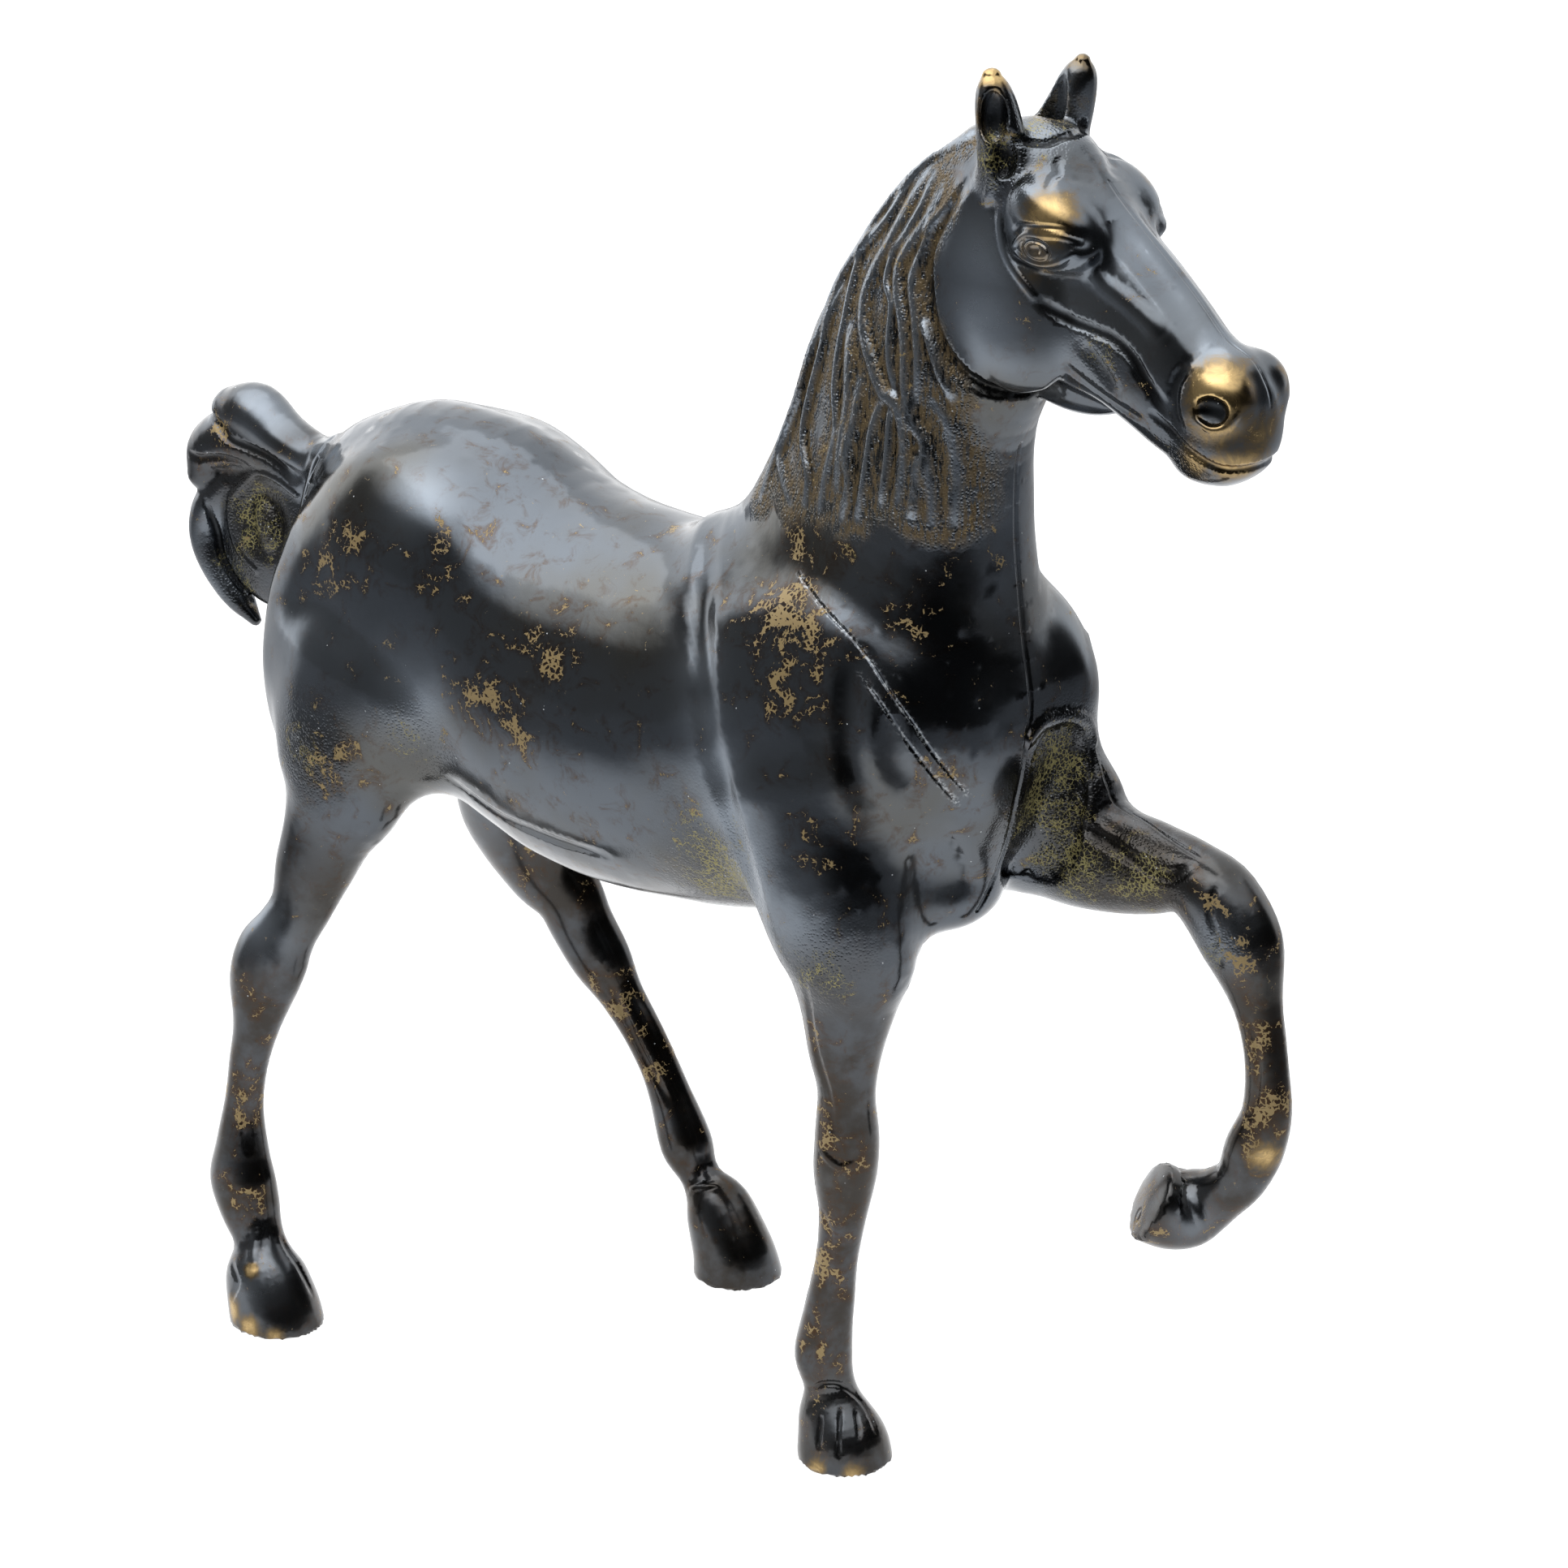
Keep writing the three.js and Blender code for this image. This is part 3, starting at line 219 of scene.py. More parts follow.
@dataclass
class Limb(Form):
    """Oval sections strung on a smooth line and rounded at both ends.

    A row holds x, y, z, half width across and half depth, and the direction of the depth where the sections
    don't stand square to the line. cap is how far the ends bulge for their size, egg narrows each section's
    top, and a power over 2 squares it up. The rows are filled in to spans times as many sections.
    """

    rows: Rows = ()
    cap: float = 0.8
    egg: float = 0
    power: float = 2
    spans: int = 4
    thinnest: float = 0.3

    def __post_init__(self) -> None:
        """Works out the sections and the box around them."""
        fine = smooth_rows(self.rows, self.spans)
        side = np.array([0.0, 1.0, 0.0])
        self.centres = fine[:, :3]
        self.wide = np.maximum(fine[:, 3], self.thinnest)
        self.deep = np.maximum(fine[:, 4], self.thinnest)
        along = unit(np.gradient(self.centres, axis=0))
        if fine.shape[1] > 5:
            self.depths = unit(fine[:, 5:8])
            normals = unit(np.cross(side, self.depths))
            self.normals = normals * np.sign((normals * along).sum(1))[:, None]
        else:
            self.normals = along
        self.across = unit(side - (self.normals @ side)[:, None] * self.normals)
        if fine.shape[1] <= 5:
            self.depths = np.cross(self.normals, self.across)
        reach = np.maximum(self.wide, self.deep)[:, None] + self.blend + MARGIN
        self.low = (self.centres - reach).min(0)
        self.high = (self.centres + reach).max(0)
        self.middles = (self.centres[:-1] + self.centres[1:]) / 2
        spans = np.linalg.norm(np.diff(self.centres, axis=0), axis=1) / 2
        most = np.maximum(self.wide, self.deep)
        self.reaches = spans + np.maximum(most[:-1], most[1:]) + self.blend + 2 * MARGIN

    def distance(self, points: Array) -> Array:
        """Measures the limb.

        Args:
            points: The points measured.

        Returns:
            Signed distances in mm.
        """
        best = np.full(len(points), UNSEEN)
        centre = points.mean(0)
        spread = np.linalg.norm(points - centre, axis=1).max()
        last = len(self.centres) - 2
        for i in np.flatnonzero(np.linalg.norm(self.middles - centre, axis=1) < self.reaches + spread):
            before = (points - self.centres[i]) @ self.normals[i]
            after = (points - self.centres[i + 1]) @ self.normals[i + 1]
            gap = before - after
            t = before / np.maximum(gap, 1e-6)
            near = ((points - self.middles[i]) ** 2).sum(1) <= self.reaches[i] ** 2
            use = near & (gap >= 1e-6) & ((t >= -0.02) | (i == 0)) & ((t <= 1.02) | (i == last))
            if use.any():
                best[use] = np.minimum(best[use], self.slice_distance(points[use], i, np.clip(t[use], 0, 1)))
        return best

    def slice_distance(self, points: Array, i: int, t: Array) -> Array:
        """Distance to the oval a share t of the way from section i to the next.

        Args:
            points: The points measured.
            i: The section before them.
            t: Each point's share of the way to the next section.

        Returns:
            Signed distances in mm.
        """
        def mix(values: Array) -> Array:
            """What lies between two neighbouring rows."""
            share = t[:, None] if values.ndim == 2 else t
            return values[i] + share * (values[i + 1] - values[i])

        offset = points - mix(self.centres)
        wide, deep = mix(self.wide), mix(self.deep)
        end = np.minimum(wide, deep) * self.cap
        v = (offset * mix(self.depths)).sum(1) / deep
        wide = wide * (1 - self.egg * np.clip(v, -1.2, 1.2))
        u = (offset * mix(self.across)).sum(1) / wide
        w = (offset * mix(self.normals)).sum(1) / end
        return oval_distance(u, v, w, (wide, deep, end), self.power)


def ring(centre: tuple, radii: tuple, count: int) -> Rows:
    """Draws an oval in side view.

    Args:
        centre: Its centre, mm.
        radii: Its half length and half height, mm.
        count: How many points it gets, the last one on the first.

    Returns:
        The points.
    """
    x, y, z = centre
    turns = np.linspace(0, 2 * math.pi, count)
    return tuple((x + radii[0] * math.cos(a), y, z + radii[1] * math.sin(a)) for a in turns)


def sliced(rows: Rows, **options: float) -> Limb:
    """Makes a limb on the midline from slices.

    Args:
        rows: Top x, z, bottom x, z and half width of each slice.
        **options: The limb's other settings.

    Returns:
        The limb.
    """
    sections = []
    for top_x, top_z, low_x, low_z, half in rows:
        deep = math.hypot(top_x - low_x, top_z - low_z) / 2
        middle = ((top_x + low_x) / 2, 0, (top_z + low_z) / 2)
        sections.append((*middle, half, deep, (top_x - low_x) / deep, 0, (top_z - low_z) / deep))
    return Limb(rows=sections, **options)


@dataclass
class Mass(Form):
    """An ellipsoid, turned nose down by pitch degrees, and squarer where power is over 2."""

    centre: tuple = (0, 0, 0)
    radii: tuple = (1, 1, 1)
    pitch: float = 0
    power: float = 2

    def __post_init__(self) -> None:
        """Works out the box around the mass."""
        reach = max(self.radii) + self.blend + MARGIN
        self.low = np.array(self.centre) - reach
        self.high = np.array(self.centre) + reach
        a = math.radians(self.pitch)
        self.turn = np.array([[math.cos(a), 0, math.sin(a)], [0, 1, 0], [-math.sin(a), 0, math.cos(a)]])

    def distance(self, points: Array) -> Array:
        """Signed distance of each point to the mass, mm."""
        u, v, w = (((points - np.array(self.centre)) @ self.turn) / np.array(self.radii)).T
        return oval_distance(u, v, w, self.radii, self.power)


@dataclass(frozen=True)
class Pellet:
    """An ellipsoid of clay as it is put on: centre and radii, mm. With both set, one goes on each side."""

    centre: tuple
    radii: tuple
    pitch: float = 0
    power: float = 2
    blend: float = 4
    hollow: bool = False
    both: bool = False


@dataclass(frozen=True)
class Stroke:
    """A crease as it is drawn: half width, and depth or a ridge's height where that is negative, mm.

    With both set, it is drawn on each side from the right one's points.
    """

    points: Rows
    width: float
    depth: float
    blunt: bool = False
    edge: float = 1
    both: bool = False


@dataclass
class Crease:
    """A line drawn on the surface: a groove where depth is positive, a ridge where it is negative.

    Points with two numbers are x, z in side view, and mark the right side, or with mirrored both sides. The
    ends taper off to the share tip unless they are blunt. The smaller the edge, the flatter the bottom and
    the steeper the walls. A flat line fades in over the distances from the midline that fade gives, mm.
    """

    points: Rows
    width: float
    depth: float
    blunt: bool = False
    edge: float = 1
    mirrored: bool = False
    spans: int = 3
    rim: float = 0.3
    half_body: float = 40
    tip: float = 0.25
    fade: Ramp = Ramp(0.5, 3)

    def __post_init__(self) -> None:
        """Works out the line's spans and the box around it."""
        self.flat = len(self.points[0]) == 2
        rows = [(p[0], 0, p[1]) for p in self.points] if self.flat else self.points
        self.line = smooth_rows(rows, self.spans) if len(rows) > 2 else np.asarray(rows, float)
        self.measure()

    def measure(self) -> None:
        """Works out the box around the line and the length up to each of its points."""
        self.low = self.line.min(0) - self.width - self.rim
        self.high = self.line.max(0) + self.width + self.rim
        if self.flat:
            self.low[1], self.high[1] = -self.half_body, self.half_body if self.mirrored else 0
        self.lengths = np.concatenate([[0], np.cumsum(np.linalg.norm(np.diff(self.line, axis=0), axis=1))])

    def reach(self, points: Array) -> tuple[Array, Array]:
        """Finds the nearest place on the line.

        Args:
            points: The points measured.

        Returns:
            The squared distances, and how far along the line each nearest place is.
        """
        best = np.full(len(points), 1e9)
        along = np.zeros(len(points))
        for i, (a, b) in enumerate(zip(self.line, self.line[1:])):
            span = b - a
            offset = points - a
            if self.flat:
                offset = offset * (1, 0, 1)
            t = np.clip(offset @ span / (span @ span), 0, 1)
            square = ((offset - t[:, None] * span) ** 2).sum(1)
            nearer = square < best
            best[nearer] = square[nearer]
            along[nearer] = self.lengths[i] + t[nearer] * (self.lengths[i + 1] - self.lengths[i])
        return best, along

    def height(self, points: Array) -> Array:
        """How much of the line each point feels.

        Args:
            points: The points measured.

        Returns:
            Shares from 0 beside it to 1 on it.
        """
        square, along = self.reach(points)
        height = np.clip((1 - square / self.width**2) / self.edge, 0, 1) ** 2
        total = self.lengths[-1]
        if not self.blunt:
            taper = max(1.5 * self.width, 0.25 * total)
            e = np.clip(np.minimum(along, total - along) / taper, 0, 1)
            height = height * (self.tip + (1 - self.tip) * e * (2 - e))
        if self.flat:
            out = np.abs(points[:, 1]) if self.mirrored else -points[:, 1]
            height = height * self.fade.at(out)
        return height

    def apply(self, points: Array, so_far: Array) -> Array:
        """Presses the line into distances that are known so far.

        Args:
            points: The points measured.
            so_far: Their distances without this line.

        Returns:
            The distances with it.
        """
        low, high = points.min(0), points.max(0)
        if (low > self.high).any() or (high < self.low).any():
            return so_far
        near = np.all((points > self.low) & (points < self.high), axis=1) & (np.abs(so_far) < SKIN)
        if near.any():
            so_far[near] += self.depth * self.height(points[near])
        return so_far


@dataclass(frozen=True)
class Lumps:
    """The slight unevenness that fingers leave in wax: waves that cross each other, from short to long.

    The shortest is so many mm long, each next one longer by the growth, and their height is a share of that.
    """

    count: int = 7
    shortest: float = 8
    growth: float = 1.3
    height: float = 0.0028

    def depth(self, points: Array) -> Array:
        """How far the surface dips.

        Args:
            points: The points measured.

        Returns:
            The depth at each point, mm.
        """
        total = np.zeros(len(points))
        for i in range(self.count):
            length = self.shortest * self.growth**i
            way = unit(np.array([math.sin(2.4 * i), math.cos(2.4 * i), math.sin(1.1 * i + 0.5)]))
            total += self.height * length * np.sin(points @ way * (2 * math.pi / length) + i)
        return total


@dataclass
class Clay:
    """The whole model: forms joined in the order they were put on, then the creases."""

    forms: list[Form] = field(default_factory=list)
    creases: list[Crease] = field(default_factory=list)
    lumps: Lumps = Lumps()
    block: float = 14
    sole_edge: float = 0.5

    def add(self, *forms: Form) -> None:
        """Puts forms on."""
        self.forms.extend(forms)

    def put(self, *pellets: Pellet) -> None:
        """Puts pellets on, each on its own side or on both.

        Args:
            *pellets: The pellets, in order.
        """
        for pellet in pellets:
            x, y, z = pellet.centre
            for side in (-1, 1) if pellet.both else (1,):
                self.add(Mass(centre=(x, side * y, z), radii=pellet.radii, pitch=pellet.pitch,
                              power=pellet.power, blend=pellet.blend, hollow=pellet.hollow))

    def draw(self, *strokes: Stroke) -> list[Crease]:
        """Draws creases, each on its own side or on both.

        Args:
            *strokes: The strokes, in order.

        Returns:
            The creases.
        """
        drawn = []
        for stroke in strokes:
            flat = len(stroke.points[0]) == 2
            lines = [stroke.points]
            if stroke.both and not flat:
                lines.append([(x, -y, z) for x, y, z in stroke.points])
            for line in lines:
                drawn.append(Crease(line, stroke.width, stroke.depth, stroke.blunt, stroke.edge,
                                    mirrored=stroke.both and flat))
        self.creases += drawn
        return drawn

    def lay_creases(self) -> None:
        """Moves the lines that aren't flat onto the surface, so that they keep their width there."""
        for crease in self.creases:
            if not crease.flat:
                crease.line = self.settle(crease.line, 2, 3, carved=False)
                crease.measure()

    def blocks(self, points: Array) -> list[Array]:
        """Groups points that lie close together.

        Args:
            points: All the points.

        Returns:
            The indices of each group.
        """
        cells = np.floor(points / self.block).astype(np.int64) + 512
        keys = (cells[:, 0] * 1024 + cells[:, 1]) * 1024 + cells[:, 2]
        order = np.argsort(keys, kind="stable")
        cuts = np.flatnonzero(np.diff(keys[order])) + 1
        return np.split(order, cuts)

    def distance(self, points: Array, carved: bool = True) -> Array:
        """Measures the clay.

        Args:
            points: The points measured.
            carved: Whether the creases count.

        Returns:
            Signed distances in mm, negative inside.
        """
        out = np.empty(len(points))
        for ids in self.blocks(points):
            here = points[ids]
            d = np.full(len(here), FAR)
            for form in self.forms:
                d = form.apply(here, d)
            if carved and np.abs(d).min() < SKIN:
                for crease in self.creases:
                    d = crease.apply(here, d)
                d = d + self.lumps.depth(here)
            out[ids] = -join(-d, here[:, 2], self.sole_edge)
        return out

    def slope(self, points: Array, step: float = 0.06, carved: bool = True) -> tuple[Array, Array]:
        """Measures the clay and the way out of it.

        Args:
            points: The points measured.
            step: How far apart the samples are, mm.
            carved: Whether the creases count.

        Returns:
            The distances and their gradients.
        """
        corners = np.array([(1, 1, 1), (1, -1, -1), (-1, 1, -1), (-1, -1, 1)], float)
        samples = (points[None] + step * corners[:, None]).reshape(-1, 3)
        d = self.distance(samples, carved).reshape(4, -1)
        return d.mean(0), np.einsum("kn,kc->nc", d, corners) / (4 * step)

    def settle(self, points: Array, limit: float, times: int = 1, carved: bool = True) -> Array:
        """Moves points onto the surface.

        Args:
            points: The points to move.
            limit: The furthest that one may move at a time, mm.
            times: How often they move.
            carved: Whether the creases count.

        Returns:
            The moved points.
        """
        for _ in range(times):
            d, slope = self.slope(points, carved=carved)
            move = -(d / np.maximum((slope**2).sum(1), 0.2))[:, None] * slope
            long = np.linalg.norm(move, axis=1, keepdims=True)
            points = points + move * np.minimum(1, limit / np.maximum(long, 1e-9))
        return points


@dataclass
class Surface:
    """A closed mesh of triangles."""

    points: Array
    triangles: Array

    def edges(self) -> tuple[Array, Array]:
        """Lists the edges.

        Returns:
            The edges as pairs of points, and for each triangle the numbers of its three edges.
        """
        t = self.triangles
        sides = np.sort(np.concatenate([t[:, [0, 1]], t[:, [1, 2]], t[:, [2, 0]]]), axis=1)
        keys, inverse = np.unique(sides[:, 0] * np.int64(1 << 24) + sides[:, 1], return_inverse=True)
        return np.stack([keys >> 24, keys & ((1 << 24) - 1)], axis=1), inverse.reshape(3, -1).T

    def split_long(self, wanted: Array, edges: Array, sides: Array) -> int:
        """Splits the edges that are longer than wanted, and the longest edge beside each of them.

        Args:
            wanted: The wanted length of each edge, mm.
            edges: The edges.
            sides: The edges of each triangle.

        Returns:
            How many edges were split.
        """
        a, b = self.points[edges[:, 0]], self.points[edges[:, 1]]
        long = np.linalg.norm(a - b, axis=1)
        marked = long > wanted
        rows = np.arange(len(sides))
        longest = np.argmax(long[sides], axis=1)
        main = sides[rows, longest]
        while True:
            missing = marked[sides].any(1) & ~marked[main]
            if not missing.any():
                break
            marked[main[missing]] = True
        count = int(marked.sum())
        middle = np.full(len(edges), -1)
        middle[marked] = len(self.points) + np.arange(count)
        self.points = np.vstack([self.points, (a[marked] + b[marked]) / 2])
        v0, v1, v2 = (self.triangles[rows, (longest + k) % 3] for k in range(3))
        m0, m1, m2 = (middle[sides[rows, (longest + k) % 3]] for k in range(3))
        split = m0 >= 0
        pieces = [self.triangles[~split]]
        for with_m1 in (False, True):
            for with_m2 in (False, True):
                use = split & ((m1 >= 0) == with_m1) & ((m2 >= 0) == with_m2)
                corners = [x[use] for x in (v0, v1, v2, m0, m1, m2)]
                first_half = ((0, 3, 5), (5, 3, 2)) if with_m2 else ((0, 3, 2),)
                second_half = ((3, 1, 4), (3, 4, 2)) if with_m1 else ((3, 1, 2),)
                for triangle in first_half + second_half:
                    pieces.append(np.stack([corners[k] for k in triangle], axis=1))
        self.triangles = np.concatenate(pieces)
        return count

    def even_out(self, normals: Array, share: float) -> None:
        """Slides each point along the surface towards the middle of its neighbours.

        Args:
            normals: The surface's normals.
            share: How much of the way it goes.
        """
        edges, _ = self.edges()
        total = np.zeros_like(self.points)
        count = np.zeros(len(self.points))
        for a, b in ((0, 1), (1, 0)):
            np.add.at(total, edges[:, a], self.points[edges[:, b]])
            count += np.bincount(edges[:, a], minlength=len(self.points))
        move = total / count[:, None] - self.points
        move -= (move * normals).sum(1)[:, None] * normals
        self.points = self.points + share * move


@dataclass(frozen=True)
class Fineness:
    """How long the mesh's edges are, mm: shorter on the small parts, and shortest along the creases.

    An edge on a crease is at most crease_share of the crease's half width, and further off it may be longer
    by spread times the distance.
    """

    body: float = 2.9
    legs: float = 1.6
    hooves: float = 1.1
    tail: float = 1.2
    head: float = 0.9
    shortest: float = 0.3
    legs_top: float = 100
    hooves_top: float = 17
    tail_box: tuple = (-113, 128)
    head_box: tuple = (46, 212)
    crease_share: float = 0.44
    spread: float = 0.36
    reach: float = 6

    def wanted(self, clay: Clay, points: Array) -> Array:
        """Says how long the edges should be.

        Args:
            clay: The model.
            points: The points asked about.

        Returns:
            The length at each point, mm.
        """
        x, z = points[:, 0], points[:, 2]
        length = np.full(len(points), self.body)
        length[z < self.legs_top] = self.legs
        length[z < self.hooves_top] = self.hooves
        length[(x < self.tail_box[0]) & (z > self.tail_box[1])] = self.tail
        length[(x > self.head_box[0]) & (z > self.head_box[1])] = self.head
        for ids in clay.blocks(points):
            here = points[ids]
            low, high = here.min(0), here.max(0)
            for crease in clay.creases:
                if (low > crease.high + self.reach).any() or (high < crease.low - self.reach).any():
                    continue
                square, _ = crease.reach(here)
                far = np.maximum(np.sqrt(square) - crease.width, 0)
                length[ids] = np.minimum(length[ids], self.crease_share * crease.width + self.spread * far)
        return np.maximum(length, self.shortest)


@dataclass
class Mesher:
    """Turns the clay into a closed mesh that is finest where its detail is.

    A grid of cells is laid from low to high, and measured closely only where every coarse-th point says that
    the surface is near. The net on it is drawn onto the clay, split where its edges are over slack times too
    long, and evened out. The moves are the furthest that a point may go at a time. Lengths are mm.
    """

    clay: Clay
    fineness: Fineness = Fineness()
    cell: float = 2.0
    low: tuple = (-163.0, -58.0, -5.0)
    high: tuple = (123.0, 58.0, 293.0)
    coarse: int = 4
    near_cells: float = 7.2
    fillings: int = 8
    just_inside: float = -1e-3
    rounds: int = 5
    slack: float = 1.4
    evenings: int = 2
    even_share: float = 0.5
    first_move: float = 0.8
    carved_move: float = 0.5
    split_move: float = 0.4
    even_move: float = 0.3

    def sample(self) -> Array:
        """Measures the clay on a grid.

        Returns:
            Signed distances. Far from the surface they are rough.
        """
        step = self.coarse
        counts = [math.ceil((h - l) / self.cell / step) * step + 1 for l, h in zip(self.low, self.high)]
        axes = [l + self.cell * np.arange(n) for l, n in zip(self.low, counts)]
        coarse = [axis[step // 2::step] for axis in axes]
        grid = np.stack(np.meshgrid(*coarse, indexing="ij"), -1).reshape(-1, 3)
        rough = self.clay.distance(grid, carved=False).reshape([len(c) for c in coarse])
        spread = rough
        for axis in range(3):
            spread = np.repeat(spread, step, axis)
            spread = np.concatenate([spread, spread.take([-1], axis)], axis)
        near = np.argwhere(np.abs(spread) < self.cell * self.near_cells + MARGIN)
        points = np.stack([axes[k][near[:, k]] for k in range(3)], -1)
        values = spread.copy()
        values[tuple(near.T)] = self.clay.distance(points, carved=False)
        return values

    def part_sheets(self, values: Array) -> None:
        """Fills the few grid points that would leave two sheets of the surface touching at an edge.

        Args:
            values: The grid's distances.
        """
        for _ in range(self.fillings):
            changed = 0
            for axis in range(3):
                one, two = [k for k in range(3) if k != axis]
                strides = np.array(values.strides) // values.itemsize
                shape = np.array(values.shape)
                shape[[one, two]] -= 1
                base = np.indices(shape).reshape(3, -1).T @ strides
                flat = values.reshape(-1)
                a, b = base, base + strides[one]
                c, d = base + strides[one] + strides[two], base + strides[two]
                full = [flat[n] < 0 for n in (a, b, c, d)]
                for first, second, empty in ((a, c, full[0]), (b, d, full[1])):
                    bad = (full[0] == full[2]) & (full[1] == full[3]) & (full[0] != full[1]) & ~empty
                    chosen = np.where(flat[first[bad]] < flat[second[bad]], first[bad], second[bad])
                    flat[chosen] = self.just_inside
                    changed += len(chosen)
            if not changed:
                return

    def net(self, values: Array) -> Surface:
        """Puts a point in each cell that the surface crosses, and two triangles over each crossed edge.

        Args:
            values: The grid's distances.

        Returns:
            The mesh.
        """
        inside = values < 0
        cells = np.array(values.shape) - 1
        corners = [(x, y, z) for x in (0, 1) for y in (0, 1) for z in (0, 1)]
        count = sum(inside[x:x + cells[0], y:y + cells[1], z:z + cells[2]].astype(int) for x, y, z in corners)
        crossed = (count > 0) & (count < 8)
        ids = np.full(crossed.shape, -1)
        ids[crossed] = np.arange(crossed.sum())
        at = np.argwhere(crossed)
        total, number = np.zeros((len(at), 3)), np.zeros(len(at))
        for i, a in enumerate(corners):
            for b in corners[i + 1:]:
                if sum(abs(p - q) for p, q in zip(a, b)) != 1:
                    continue
                va, vb = values[tuple((at + a).T)], values[tuple((at + b).T)]
                cut = (va < 0) != (vb < 0)
                t = np.where(cut, va / np.where(cut, va - vb, 1), 0)[:, None]
                total[cut] += (np.array(a) + t * (np.array(b) - np.array(a)))[cut]
                number[cut] += 1
        points = np.array(self.low) + self.cell * (at + total / number[:, None])
        triangles = []
        for axis in range(3):
            around = [(axis + 1) % 3, (axis + 2) % 3]
            here, there = [slice(None)] * 3, [slice(None)] * 3
            here[axis], there[axis] = slice(None, -1), slice(1, None)
            for k in around:
                here[k] = there[k] = slice(1, -1)
            a, b = inside[tuple(here)], inside[tuple(there)]
            for outward in (True, False):
                edge = np.argwhere(a & ~b if outward else ~a & b)
                edge[:, around] += 1
                quad = []
                for u, v in ((0, 0), (1, 0), (1, 1), (0, 1)):
                    cell = edge.copy()
                    cell[:, around[0]] -= 1 - u
                    cell[:, around[1]] -= 1 - v
                    quad.append(ids[tuple(cell.T)])
                quad = np.stack(quad if outward else quad[::-1], 1)
                triangles += [quad[:, [0, 1, 2]], quad[:, [0, 2, 3]]]
        return Surface(points, np.concatenate(triangles))

    def build(self) -> tuple[Surface, Array]:
        """Meshes the clay.

        Returns:
            The mesh and its normals.
        """
        clay = self.clay
        values = self.sample()
        self.part_sheets(values)
        surface = self.net(values)
        surface.points = clay.settle(surface.points, self.first_move, 2, carved=False)
        surface.points = clay.settle(surface.points, self.carved_move)
        log.info("net: %d points", len(surface.points))
        for _ in range(self.rounds):
            edges, sides = surface.edges()
            lengths = self.slack * self.fineness.wanted(clay, surface.points[edges].mean(1))
            known = len(surface.points)
            surface.split_long(lengths, edges, sides)
            surface.points[known:] = clay.settle(surface.points[known:], self.split_move)
            log.info("split to %d triangles", len(surface.triangles))
        for _ in range(self.evenings):
            _, slope = clay.slope(surface.points)
            surface.even_out(unit(slope), self.even_share)
            surface.points = clay.settle(surface.points, self.even_move)
        _, slope = clay.slope(surface.points)
        return surface, unit(slope)


